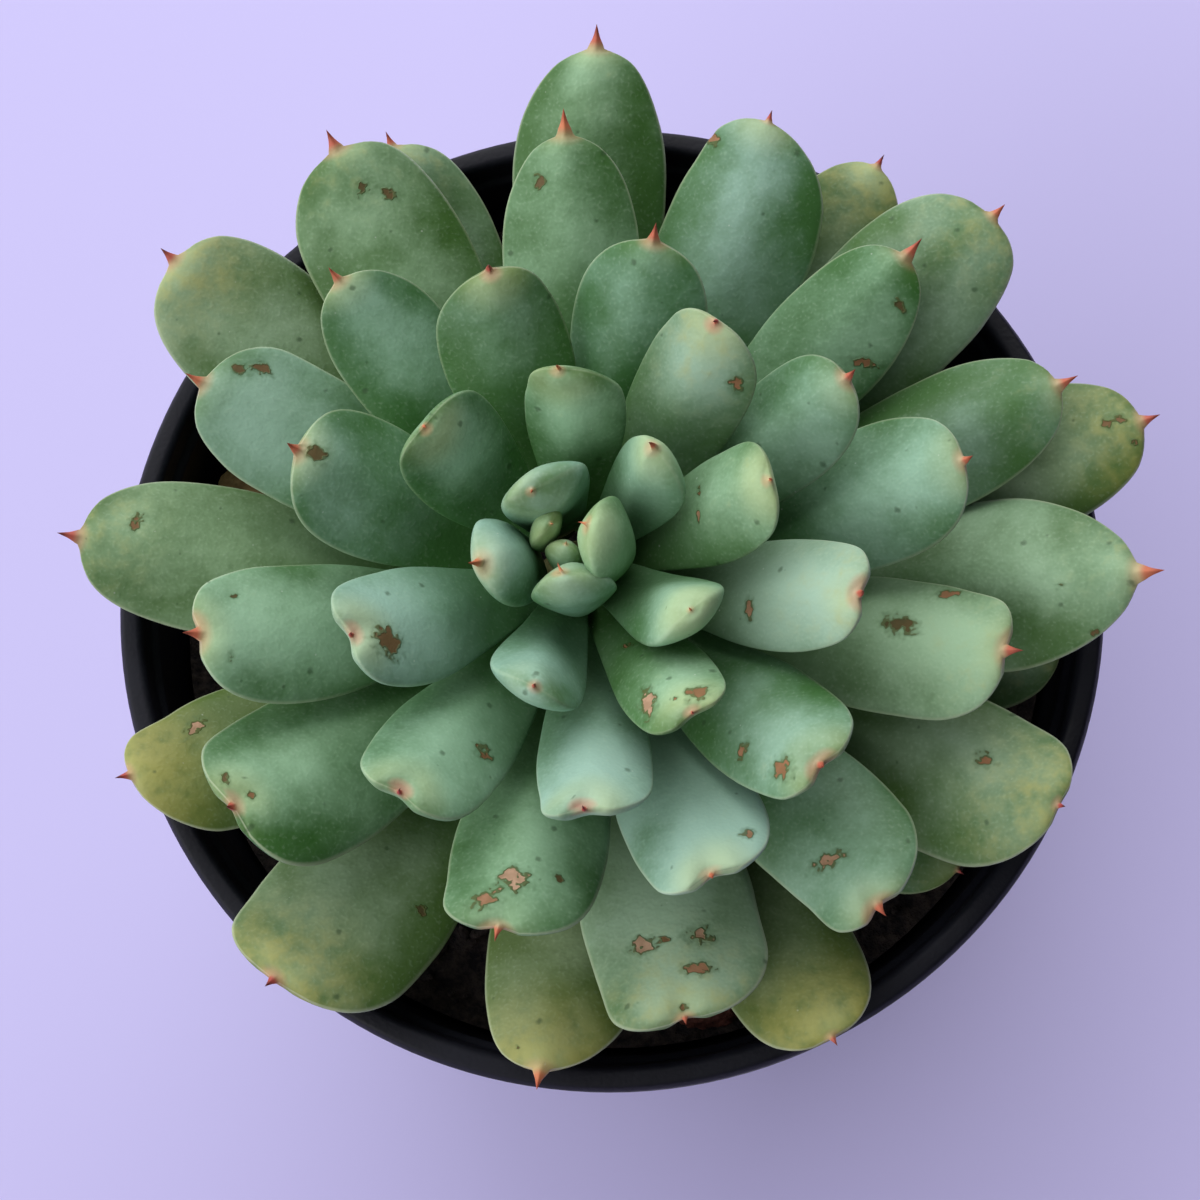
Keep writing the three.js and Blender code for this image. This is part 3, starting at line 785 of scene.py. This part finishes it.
for layer, causes in LAYERS:
    cover = 1.0
    for value, low, high, least, most in causes:
        part = add_node(
            tree, "MapRange", {0: value, 1: low, 2: high, 3: least, 4: most},
            interpolation_type="SMOOTHSTEP")
        cover = add_node(tree, "Math", {0: part, 1: cover}, operation="MULTIPLY")
    colour = add_node(tree, "Mix", {0: cover, 6: colour, 7: layer}, out=2, data_type="RGBA")
print("layers:", len(LAYERS))

# %% [markdown]
# Sparse round spots lie on the blade's own map: soft dark pits, and small white grains of dust. Each cell
# of a Voronoi pattern draws whether it has a spot and how large that is. A row has the spacing and the
# smallest and largest radius in millimetres, the share of cells with a spot, its strength and its colour.

# %% Leaf finish: pits and dust
SPOTS = [(5.2, 0.15, 0.42, 0.45, 0.55, "#2b4526"), (2.3, 0.02, 0.12, 0.12, 0.7, "#e6ebe2")]
SPOT_RAGGED = 0.2
SPOT_EDGE = 0.25
uneven = add_node(tree, "Math", {0: grain, 1: 0.5}, operation="SUBTRACT")
for spacing, smallest, largest, frequency, strength, hex_colour in SPOTS:
    cells = add_node(tree, "TexVoronoi", {"Vector": blade, "Scale": 1 / spacing}, voronoi_dimensions="2D")
    drawn = add_node(tree, "SeparateColor", {0: cells.node.outputs["Color"]})
    radius = add_node(
        tree, "MapRange", {0: drawn.node.outputs[1], 3: smallest / spacing, 4: largest / spacing},
        interpolation_type="SMOOTHSTEP")
    ragged = add_node(
        tree, "Math", {0: uneven, 1: SPOT_RAGGED / spacing, 2: cells}, operation="MULTIPLY_ADD")
    inside = add_node(tree, "Math", {0: radius, 1: ragged}, operation="SUBTRACT")
    inside = add_node(tree, "Math", {0: inside, 1: SPOT_EDGE / spacing}, operation="DIVIDE", use_clamp=True)
    has_spot = add_node(tree, "Math", {0: drawn, 1: frequency}, operation="LESS_THAN")
    cover = add_node(tree, "Math", {0: inside, 1: has_spot}, operation="MULTIPLY")
    cover = add_node(tree, "Math", {0: cover, 1: strength}, operation="MULTIPLY")
    colour = add_node(tree, "Mix", {0: cover, 6: colour, 7: linear(hex_colour)}, out=2, data_type="RGBA")
print("kinds of spot:", len(SPOTS))

# %% [markdown]
# A scar has three zones round its middle: a dark green halo, an olive rim and the cork itself, pale,
# brown or nearly black by its tone. Noise shifts the distance, so that the zones are ragged.

# %% Leaf finish: scars
SCAR_RAGGED = 2.2
uneven = add_node(tree, "Math", {0: scar_grain, 1: 0.5}, operation="SUBTRACT")
from_scar = add_node(tree, "Math", {0: uneven, 1: SCAR_RAGGED, 2: fact["scar"]}, operation="MULTIPLY_ADD")
halo, rim, cork = [
    add_node(tree, "MapRange", {0: from_scar, 1: far, 2: near}, interpolation_type="SMOOTHSTEP")
    for far, near in ((1.9, 1.0), (1.2, 0.95), (0.85, 0.7))]
cork_colour = linear("#c9a489")
for value, low, high, most, darker in (
        (fact["tone"], 0.0, 0.5, 1.0, "#9c6c4c"), (fact["tone"], 0.5, 0.9, 1.0, "#524b2c"),
        (mottle, 0.35, 0.65, 0.45, "#6f5433")):
    cover = add_node(
        tree, "MapRange", {0: value, 1: low, 2: high, 4: most}, interpolation_type="SMOOTHSTEP")
    cork_colour = add_node(
        tree, "Mix", {0: cover, 6: cork_colour, 7: linear(darker)}, out=2, data_type="RGBA")
for zone, strength, layer in ((halo, 0.4, linear("#3f5f31")), (rim, 0.75, linear("#555729")),
                              (cork, 0.95, cork_colour)):
    cover = add_node(tree, "Math", {0: zone, 1: strength}, operation="MULTIPLY")
    colour = add_node(tree, "Mix", {0: cover, 6: colour, 7: layer}, out=2, data_type="RGBA")
print("nodes so far:", len(tree.nodes))

# %% [markdown]
# The skin is matt where wax lies and a little glossier where it is rubbed off. Its unevenness and the
# scars' rims are a tenth of a millimetre high or less, which breaks the highlights softly.

# %% Leaf finish: relief and gloss
height = 0.0
for value, weight in ((mottle, 0.16), (grain, 0.03), (rim, 0.12), (cork, -0.12)):
    height = add_node(tree, "Math", {0: value, 1: weight, 2: height}, operation="MULTIPLY_ADD")
relief = add_node(tree, "Bump", {"Strength": 0.6, "Distance": 1 * MM, "Height": height})
rough = add_node(tree, "MapRange", {0: kept, 3: 0.45, 4: 0.62}, interpolation_type="SMOOTHSTEP")
rough = add_node(tree, "Math", {0: rim, 1: 0.2, 2: rough}, operation="MULTIPLY_ADD")
shader = add_node(tree, "BsdfPrincipled", {
    "Base Color": colour, "Roughness": rough, "Normal": relief, "IOR": 1.42, "Specular IOR Level": 0.4})
add_node(tree, "OutputMaterial", {"Surface": shader})
for order, leaf in enumerate(leaves):
    leaf.data.materials.append(leaf_skin)
    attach(leaf, "root")
    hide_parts("leaf_%02d" % (order + 1))
print("finish nodes:", len(tree.nodes))

# %% [markdown]
# ## The stem
# The stem is short, thick and woody below, and greener where it still carries leaves. Rings of old leaf
# scars wrap it. A cone is cut into many rings, and each ring is swelled or pinched to make them.

# %% Stem shape
STEM_FOOT = -30
STEM_END = 18
STEM_SIDES = 48
STEM_RINGS = 90
NECK_HEIGHT = -12.5
NECK_RADIUS = 5.5
NECK_WIDENS = 0.57
RIPPLES_FROM = -14
RIPPLE = 0.18
RIPPLE_SPIRALS = 2
SCAR_RING_SPACING = 1.7
BARK_LOSS = 0.3
LEAST_RADIUS = 0.5

stem_shape = bmesh.new()
bmesh.ops.create_cone(stem_shape, cap_ends=True, segments=STEM_SIDES, radius1=1, radius2=1, depth=1)
side_edges = [edge for edge in stem_shape.edges if abs(edge.verts[0].co.z - edge.verts[1].co.z) > 0.5]
bmesh.ops.subdivide_edges(stem_shape, edges=side_edges, cuts=STEM_RINGS, use_grid_fill=True)
for point in stem_shape.verts:
    height = mix((STEM_FOOT, STEM_END), point.co.z + 0.5)
    radius = min(NECK_RADIUS + max(height - NECK_HEIGHT, 0) * NECK_WIDENS, stem_radius(height))
    around = math.atan2(point.co.y, point.co.x)
    if height > RIPPLES_FROM:
        radius += RIPPLE * math.sin(height / SCAR_RING_SPACING * math.tau + RIPPLE_SPIRALS * around)
    radius = max(radius - BARK_LOSS, LEAST_RADIUS)
    point.co = (PLANT + Vector((math.cos(around) * radius, math.sin(around) * radius, height))) * MM
print("stem points:", len(stem_shape.verts))

# %% [markdown]
# Every piece from here on ends the same way: its bmesh becomes a mesh with its normals outward, gets its
# material, and takes the place of its CAD node, riding on the part's only body.

# %% From bmesh to piece


def piece_from(shape, name, material, slot, *nodes):
    """A finished bmesh as a piece of the object, which stands for these nodes."""
    mesh = bpy.data.meshes.new(name)
    bmesh.ops.recalc_face_normals(shape, faces=shape.faces)
    shape.to_mesh(mesh)
    shape.free()
    mesh.materials.append(material)
    mesh.shade_smooth()
    piece = bpy.data.objects.new(name, mesh)
    bpy.context.scene.collection.objects.link(piece)
    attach(piece, "root")
    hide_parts(*nodes)
    return piece


# %% [markdown]
# Bark, peat, perlite and a dried leaf are all rough and natural: grown or burst open, never smoothed.
# Each gets a colour that runs between two as its grain rises and falls, and a matt surface in relief: the
# darker colour in the hollows is partly mottling and partly painted shade. They differ in colours, in the
# size of the grain and in its depth.

# %% Rough natural surfaces
GRAIN_LOW, GRAIN_HIGH = 0.35, 0.68


def mottled_with_painted_shade(name, dark, light, spacing, roughness, depth):
    """A rough natural surface with painted shade in its hollows; its grain's spacing and depth are in
    millimetres.
    """
    material, tree = new_material(name)
    place = add_node(tree, "TexCoord", out="Object")
    grain = add_node(tree, "TexNoise", {
        "Vector": place, "Scale": 1 / (spacing * MM), "Detail": 3.0, "Roughness": 0.65}, out="Fac")
    # Painted shade: the colour darkens where the grain sinks, as in the hollows of the relief, partly also
    # mottling.
    share = add_node(tree, "MapRange", {0: grain, 1: GRAIN_LOW, 2: GRAIN_HIGH})
    colour = add_node(tree, "Mix", {0: share, 6: linear(dark), 7: linear(light)}, out=2, data_type="RGBA")
    relief = add_node(tree, "Bump", {"Strength": 1.0, "Distance": depth * MM, "Height": grain})
    shader = add_node(tree, "BsdfPrincipled", {
        "Base Color": colour, "Roughness": roughness, "Normal": relief, "IOR": 1.5,
        "Specular IOR Level": 0.3})
    add_node(tree, "OutputMaterial", {"Surface": shader})
    return material


bark_skin = mottled_with_painted_shade("corky_stem_bark", "#3c3a20", "#7c7a4c", 2.2, 0.8, 0.6)
stem = piece_from(stem_shape, "woody_stem", bark_skin, "stem", "stem")
print("stem faces:", len(stem.data.polygons))

# %% [markdown]
# ## The pot
# A nursery pot is blown or moulded from black polypropylene: thin, slightly flexible, with a rolled band
# at the rim, a stepped foot and holes round its floor. Its section is drawn once and spun. The real one
# is all soft corners, so the section's corners are rounded by a bevel before the spin. A row of the
# section has a radius and a height.

# %% Pot shape
POT_SIDES = 160
CORNER_RADIUS = 0.28
SAME_POINT = 0.002
SECTION = [
    (0, 0), (12, 0), (13.5, 2.4), (29, 2.4), (30.5, 0), (37.7, 0), (38.5, 0.8), (50.1, 80.4), (52.1, 81),
    (52.5, 81.5), (52.5, 89.2), (52, 90), (50.4, 90), (49.9, 89.5), (49.7, 87), (48.9, 86.4), (49, 79),
    (37.4, 1.6), (36.8, 1.1), (31, 1.1), (29.4, 3.5), (13.1, 3.5), (11.5, 1.1), (0, 1.1),
]

pot_shape = bmesh.new()
corners = [pot_shape.verts.new((radius * MM, 0, height * MM)) for radius, height in SECTION]
for first, second in zip(corners, corners[1:]):
    pot_shape.edges.new((first, second))
bmesh.ops.bevel(
    pot_shape, geom=corners[1:-1], affect="VERTICES", offset=CORNER_RADIUS * MM, segments=3, profile=0.5,
    material=-1)
bmesh.ops.spin(
    pot_shape, geom=pot_shape.verts[:] + pot_shape.edges[:], cent=(0, 0, 0), axis=(0, 0, 1),
    angle=math.tau, steps=POT_SIDES, use_merge=True)
bmesh.ops.remove_doubles(pot_shape, verts=pot_shape.verts, dist=SAME_POINT * MM)
print("pot points:", len(pot_shape.verts))

# %% [markdown]
# Moulded black polypropylene is satin: it gives the eye a broad dull sheen, faintly blue in daylight, and
# clouds of dust and fine scuffs make it greyer and duller in places. The grit of the mould is drawn half
# a millimetre wide, which is as coarse as it has to be to show.

# %% Pot finish
DUST_CLOUD = 14
MOULD_GRIT = 0.5
GRIT_DEPTH = 0.12
plastic, tree = new_material("moulded_black_polypropylene")
place = add_node(tree, "TexCoord", out="Object")
cloud, grit = [
    add_node(tree, "TexNoise", {"Vector": place, "Scale": 1 / (spacing * MM), "Detail": detail}, out="Fac")
    for spacing, detail in ((DUST_CLOUD, 3.0), (MOULD_GRIT, 1.0))]
dust = add_node(tree, "MapRange", {0: cloud, 1: 0.45, 2: 0.75, 3: 0.0, 4: 0.35})
colour = add_node(
    tree, "Mix", {0: dust, 6: linear("#12121b"), 7: linear("#272834")}, out=2, data_type="RGBA")
rough = add_node(tree, "MapRange", {0: cloud, 1: 0.3, 2: 0.7, 3: 0.42, 4: 0.62})
relief = add_node(tree, "Bump", {"Strength": 0.35, "Distance": GRIT_DEPTH * MM, "Height": grit})
shader = add_node(tree, "BsdfPrincipled", {
    "Base Color": colour, "Roughness": rough, "Normal": relief, "IOR": 1.49, "Specular IOR Level": 0.22})
add_node(tree, "OutputMaterial", {"Surface": shader})
pot = piece_from(pot_shape, "nursery_pot", plastic, "pot", "pot")
print("pot faces:", len(pot.data.polygons))

# %% [markdown]
# Water leaves through a ring of round holes in the raised channel of the floor. They are cut by cylinders
# with exact booleans, which a spun section can't have in it.

# %% Drain holes
DRAIN_HOLES = 8
DRAIN_CIRCLE = 21.2
DRAIN_RADIUS = 3.2
DRILL_SIDES = 32
DRILL_LENGTH = 14
DRILL_HEIGHT = 2
for hole in range(DRAIN_HOLES):
    around = math.tau * hole / DRAIN_HOLES
    centre = Vector((DRAIN_CIRCLE * math.cos(around), DRAIN_CIRCLE * math.sin(around), DRILL_HEIGHT))
    drill_shape = bmesh.new()
    bmesh.ops.create_cone(
        drill_shape, cap_ends=True, segments=DRILL_SIDES, radius1=DRAIN_RADIUS * MM,
        radius2=DRAIN_RADIUS * MM, depth=DRILL_LENGTH * MM, matrix=Matrix.Translation(centre * MM))
    mesh = bpy.data.meshes.new("drill")
    drill_shape.to_mesh(mesh)
    drill_shape.free()
    drill = bpy.data.objects.new("drill", mesh)
    bpy.context.scene.collection.objects.link(drill)
    drain = pot.modifiers.new("drain hole", "BOOLEAN")
    drain.operation = "DIFFERENCE"
    drain.solver = "EXACT"
    drain.object = drill
    bpy.context.view_layer.objects.active = pot
    bpy.ops.object.modifier_apply(modifier=drain.name)
    bpy.data.objects.remove(drill)
print("pot faces with holes:", len(pot.data.polygons))

# %% [markdown]
# ## The potting mix
# Dark peat with fine bark fills the pot to below its rim, in gentle heaps. A circle is drawn in ring by
# ring to a disc with a hole for the stem. The disc's edge reaches the pot's wall, which leans out from
# its foot, and its rings slide aside towards the hole, because the plant stands a little off the middle.

# %% Surface of the mix
WALL_FOOT_RADIUS, WALL_FOOT_HEIGHT = 37.4, 2
WALL_LEAN = 11.6 / 79.6
WALL_PLAY = 0.4
SOIL_EDGE = WALL_FOOT_RADIUS + (SOIL_LEVEL - WALL_FOOT_HEIGHT) * WALL_LEAN - WALL_PLAY
SOIL_SIDES = 120
SOIL_RINGS = 24
STEM_HOLE = 5.85
HOLE_SHIFT_OVER = 20
HEAP_HEIGHT = 0.5
SHORT_WAVES, SHORT_STARTS = (0.21, 0.24), (1.3, 0.4)
LONG_WAVES = (0.11, -0.13)
FINE_SPACING, FINE_HEIGHT = 3, 0.5


def heap(x, y):
    """How high the mix stands at a place, in millimetres."""
    short = math.sin(SHORT_WAVES[0] * x + SHORT_STARTS[0]) * math.sin(SHORT_WAVES[1] * y + SHORT_STARTS[1])
    return SOIL_LEVEL + HEAP_HEIGHT * (short + math.sin(LONG_WAVES[0] * x + LONG_WAVES[1] * y))


soil_shape = bmesh.new()
bmesh.ops.create_circle(soil_shape, cap_ends=False, segments=SOIL_SIDES, radius=SOIL_EDGE)
ring_edges = soil_shape.edges[:]
for ring in range(1, SOIL_RINGS + 1):
    reach = SOIL_EDGE * (1 - ring / SOIL_RINGS) + STEM_HOLE * ring / SOIL_RINGS
    grown = bmesh.ops.extrude_edge_only(soil_shape, edges=ring_edges)["geom"]
    ring_edges = [item for item in grown if isinstance(item, bmesh.types.BMEdge)]
    for point in {point for edge in ring_edges for point in edge.verts}:
        point.co = point.co.normalized() * reach
for point in soil_shape.verts:
    shift = 1 - min(1, (math.hypot(point.co.x, point.co.y) - STEM_HOLE) / HOLE_SHIFT_OVER)
    point.co.x += PLANT.x * shift
    point.co.y += PLANT.y * shift
    fine = noise.noise(Vector((point.co.x, point.co.y, 0)) / FINE_SPACING) * FINE_HEIGHT
    point.co.z = heap(point.co.x, point.co.y) + fine
print("the mix reaches", round(SOIL_EDGE, 1), "mm from the pot's axis")

# %% [markdown]
# The bulk below is closed by drawing the outer edge down to the pot's floor and the edge of the hole down
# along the stem, and by filling what is still open.

# %% Bulk of the mix
BULK_NARROWS = 0.8
BULK_FOOT = 5
HOLE_FOOT = 59.65
EDGE_PLAY = 1
WELL_ABOVE_FOOT = 20
outer_loop = [edge for edge in soil_shape.edges if edge.is_boundary
              and all(math.hypot(p.co.x, p.co.y) > SOIL_EDGE - EDGE_PLAY for p in edge.verts)]
grown = bmesh.ops.extrude_edge_only(soil_shape, edges=outer_loop)["geom"]
for point in [item for item in grown if isinstance(item, bmesh.types.BMVert)]:
    point.co = (point.co.x * BULK_NARROWS, point.co.y * BULK_NARROWS, BULK_FOOT)
inner_loop = [edge for edge in soil_shape.edges
              if edge.is_boundary and edge.verts[0].co.z > WELL_ABOVE_FOOT]
grown = bmesh.ops.extrude_edge_only(soil_shape, edges=inner_loop)["geom"]
for point in [item for item in grown if isinstance(item, bmesh.types.BMVert)]:
    point.co.z = HOLE_FOOT
bmesh.ops.holes_fill(soil_shape, edges=[edge for edge in soil_shape.edges if edge.is_boundary], sides=0)
print("edges still open:", sum(edge.is_boundary for edge in soil_shape.edges))

# %% [markdown]
# Hundreds of crumbs lie pressed into the surface. Each is an icosphere of 20 or 80 faces, squashed, turned
# and dented, and most are small. The mix is flat shaded, which gives the eye its broken, crumbly look,
# dark as damp peat is.

# %% Crumbs
CRUMBS = 900
CRUMB_FREE = 0.12
CRUMB_FROM_WALL = 1.4
CRUMB_LEAST, CRUMB_MORE, CRUMB_RARITY = 0.45, 1.5, 3
CRUMB_RISE = 0.1
CRUMB_DENT_SCALE, CRUMB_DENT = 0.9, 0.5
SOIL_DRAW = random.Random(5)
for crumb in range(CRUMBS):
    reach = math.sqrt(SOIL_DRAW.uniform(CRUMB_FREE, 1)) * (SOIL_EDGE - CRUMB_FROM_WALL)
    around = SOIL_DRAW.uniform(0, math.tau)
    x, y = reach * math.cos(around), reach * math.sin(around)
    size = CRUMB_LEAST + CRUMB_MORE * SOIL_DRAW.random() ** CRUMB_RARITY
    angle = SOIL_DRAW.uniform(0, math.tau)
    axis = Vector((SOIL_DRAW.random(), SOIL_DRAW.random(), 1))
    width, depth = size * SOIL_DRAW.uniform(0.5, 1), size * SOIL_DRAW.uniform(0.35, 0.8)
    squashed = Matrix.Diagonal((size, width, depth, 1))
    lifted = Matrix.Translation((x, y, heap(x, y) + size * CRUMB_RISE))
    grain = bmesh.ops.create_icosphere(
        soil_shape, subdivisions=2 if size > 1 else 1, radius=1,
        matrix=lifted @ Matrix.Rotation(angle, 4, axis) @ squashed)["verts"]
    for point in grain:
        dent = noise.noise(point.co * CRUMB_DENT_SCALE) * CRUMB_DENT
        point.co += (point.co - Vector((x, y, heap(x, y)))) * dent
bmesh.ops.scale(soil_shape, vec=(MM, MM, MM), verts=soil_shape.verts)
peat = mottled_with_painted_shade("damp_peat_and_bark", "#1b181d", "#4a403c", 1.3, 0.9, 0.5)
soil = piece_from(soil_shape, "potting_mix", peat, "soil", "soil")
soil.data.shade_flat()
print("soil faces:", len(soil.data.polygons))

# %% [markdown]
# ## Bits on the mix
# A chip of white perlite and a flake of reddish bark lie between the plant and the wall. Perlite is rock
# burst open by heat, so it is the one chalky white thing down there. Composted pine bark is fibrous and
# dull brown. Each is a ball pressed into shape and roughened by three sizes of noise.

# %% Chips
CHIP_GRAINS = ((1.3, 1), (3.1, 0.5), (7, 0.25))
SURFACE = 77.35


def ragged_lump(name, centre, radii, turn, raggedness, material, slot, node):
    """A small lump: a ball, squashed, turned and roughened, at a place in the pot."""
    lump = bmesh.new()
    bmesh.ops.create_icosphere(lump, subdivisions=5, radius=1)
    for point in lump.verts:
        rise = sum(weight * noise.noise(point.co * finer) for finer, weight in CHIP_GRAINS)
        point.co *= 1 + raggedness * rise
    shape = Matrix.Rotation(turn, 4, "Z") @ Matrix.Diagonal((*radii, 1))
    shape = Matrix.Translation(Vector(centre) * MM) @ shape @ Matrix.Scale(MM, 4)
    bmesh.ops.transform(lump, matrix=shape, verts=lump.verts)
    return piece_from(lump, name, material, slot, node)


perlite = mottled_with_painted_shade("expanded_perlite", "#b9b4ab", "#ece9e2", 0.7, 0.85, 0.3)
bark = mottled_with_painted_shade("composted_pine_bark", "#3b1f1b", "#7a4a40", 1.1, 0.85, 0.4)
ragged_lump(
    "perlite_chip_lump", (34, -29.5, SURFACE + 1.4), (1.75, 1.45, 1.2), 0.4, 0.25,
    perlite, "perlite", "perlite_chip")
ragged_lump(
    "bark_chip_flake", (10.5, -44, SURFACE + 1.3), (3.3, 1.7, 1.1), 0.1, 0.3,
    bark, "bark", "bark_chip")
print("chips made at", SURFACE, "mm")

# %% [markdown]
# One old leaf has been shed. It has dried to a thin husk the colour of straw, curled up at its sides and
# wrinkled lengthwise, with a dull papery sheen. A flattened ball is narrowed towards one end and bent.

# %% Shed leaf
HUSK_PLACE = Vector((-33.5, 12, SURFACE + 0.9))
HUSK_TURN = -0.3
HUSK_LENGTH, HUSK_WIDTH, HUSK_THICKNESS = 11.8, 4.0, 0.5
HUSK_NARROWS = 0.35
HUSK_CURL = 0.6
WRINKLE = 0.5
WRINKLES_ALONG, WRINKLES_ACROSS = 2, 5

husk_shape = bmesh.new()
bmesh.ops.create_uvsphere(husk_shape, u_segments=48, v_segments=40, radius=1)
for point in husk_shape.verts:
    x, y, z = point.co
    wrinkle = noise.noise(Vector((x * WRINKLES_ALONG, y * WRINKLES_ACROSS, 1))) * WRINKLE
    width = HUSK_WIDTH * (1 - HUSK_NARROWS * x)
    point.co = (x * HUSK_LENGTH, y * width, z * HUSK_THICKNESS + wrinkle + HUSK_CURL * y ** 2)
bmesh.ops.transform(
    husk_shape, verts=husk_shape.verts, matrix=Matrix.Translation(HUSK_PLACE * MM)
    @ Matrix.Rotation(HUSK_TURN, 4, "Z") @ Matrix.Scale(MM, 4))
husk = mottled_with_painted_shade("dried_leaf_skin", "#6b5433", "#a98d5e", 2.5, 0.75, 0.5)
piece_from(husk_shape, "shed_leaf_husk", husk, "dry_leaf", "dry_leaf")
print("the husk is", 2 * HUSK_LENGTH, "mm long")

# %% [markdown]
# ## Floor and light
# The photograph was taken in soft daylight on a pale lilac surface. A large plane stands for it: painted
# board, matt, whose cool tint also shows faintly on the pot and the leaves.

# %% Floor
FLOOR_SIDE = 8
floor_shape = bmesh.new()
bmesh.ops.create_grid(floor_shape, x_segments=1, y_segments=1, size=FLOOR_SIDE / 2)
mesh = bpy.data.meshes.new("floor")
floor_shape.to_mesh(mesh)
floor_shape.free()
floor = bpy.data.objects.new("floor", mesh)
bpy.context.scene.collection.objects.link(floor)
board, tree = new_material("pale_lilac_board")
shader = add_node(tree, "BsdfPrincipled", {
    "Base Color": linear("#d0c8f8"), "Roughness": 0.8, "Specular IOR Level": 0.2})
add_node(tree, "OutputMaterial", {"Surface": shader})
mesh.materials.append(board)
print("floor:", FLOOR_SIDE, "m square")

# %% [markdown]
# Most light comes softly from the left, so the sky grows brighter towards that side and is nearly dark on
# the other. That could be one large lamp, but a sky lights the hollows between the leaves more evenly.

# %% Sky
BRIGHT_SIDE = Vector((-0.94, 0.25, 0.22)).normalized()
DARKEST, BRIGHTEST = 0.06, 2.02
world = bpy.data.worlds.new("soft_daylight")
world.use_nodes = True
sky = world.node_tree
direction = add_node(sky, "TexCoord", out="Generated")
facing = add_node(sky, "VectorMath", {0: direction, 1: BRIGHT_SIDE}, out="Value", operation="DOT_PRODUCT")
brightness = add_node(sky, "MapRange", {0: facing, 1: 0.0, 2: 1.0, 3: DARKEST, 4: BRIGHTEST})
sky.nodes["Background"].inputs["Color"].default_value = linear("#fbfcff")
sky.links.new(brightness, sky.nodes["Background"].inputs["Strength"])
bpy.context.scene.world = world
print("the sky is brightest towards", [round(v, 2) for v in BRIGHT_SIDE])

# %% [markdown]
# Two soft square lamps stand for windows: a stronger one behind the plant and a weak one in front of it
# on the left. Where they stand and how strong they are was found by comparing small test renders with the
# photograph, as was the sky's bright side.

# %% Lamps
LAMP_DISTANCE = 0.8
FAR_WINDOW = Vector((0.0, 0.82, 0.57)).normalized()
NEAR_WINDOW = Vector((-0.58, -0.58, 0.57)).normalized()


def soft_lamp(name, direction, side, watts):
    """A white square lamp that shines on the plant from a direction."""
    lamp = bpy.data.objects.new(name, bpy.data.lights.new(name, "AREA"))
    lamp.data.size = side
    lamp.data.energy = watts
    lamp.data.color = linear("#ffffff")[:3]
    target = Vector((0, 0, POT_HEIGHT * MM))
    turn = (-direction).to_track_quat("-Z", "Y").to_matrix().to_4x4()
    lamp.matrix_world = Matrix.Translation(target + direction * LAMP_DISTANCE) @ turn
    bpy.context.scene.collection.objects.link(lamp)


soft_lamp("far_window", FAR_WINDOW, 0.8, 4.1)
soft_lamp("near_window", NEAR_WINDOW, 0.6, 1.15)
bpy.context.scene.view_settings.view_transform = "Standard"
print("lamps:", len(bpy.data.lights))
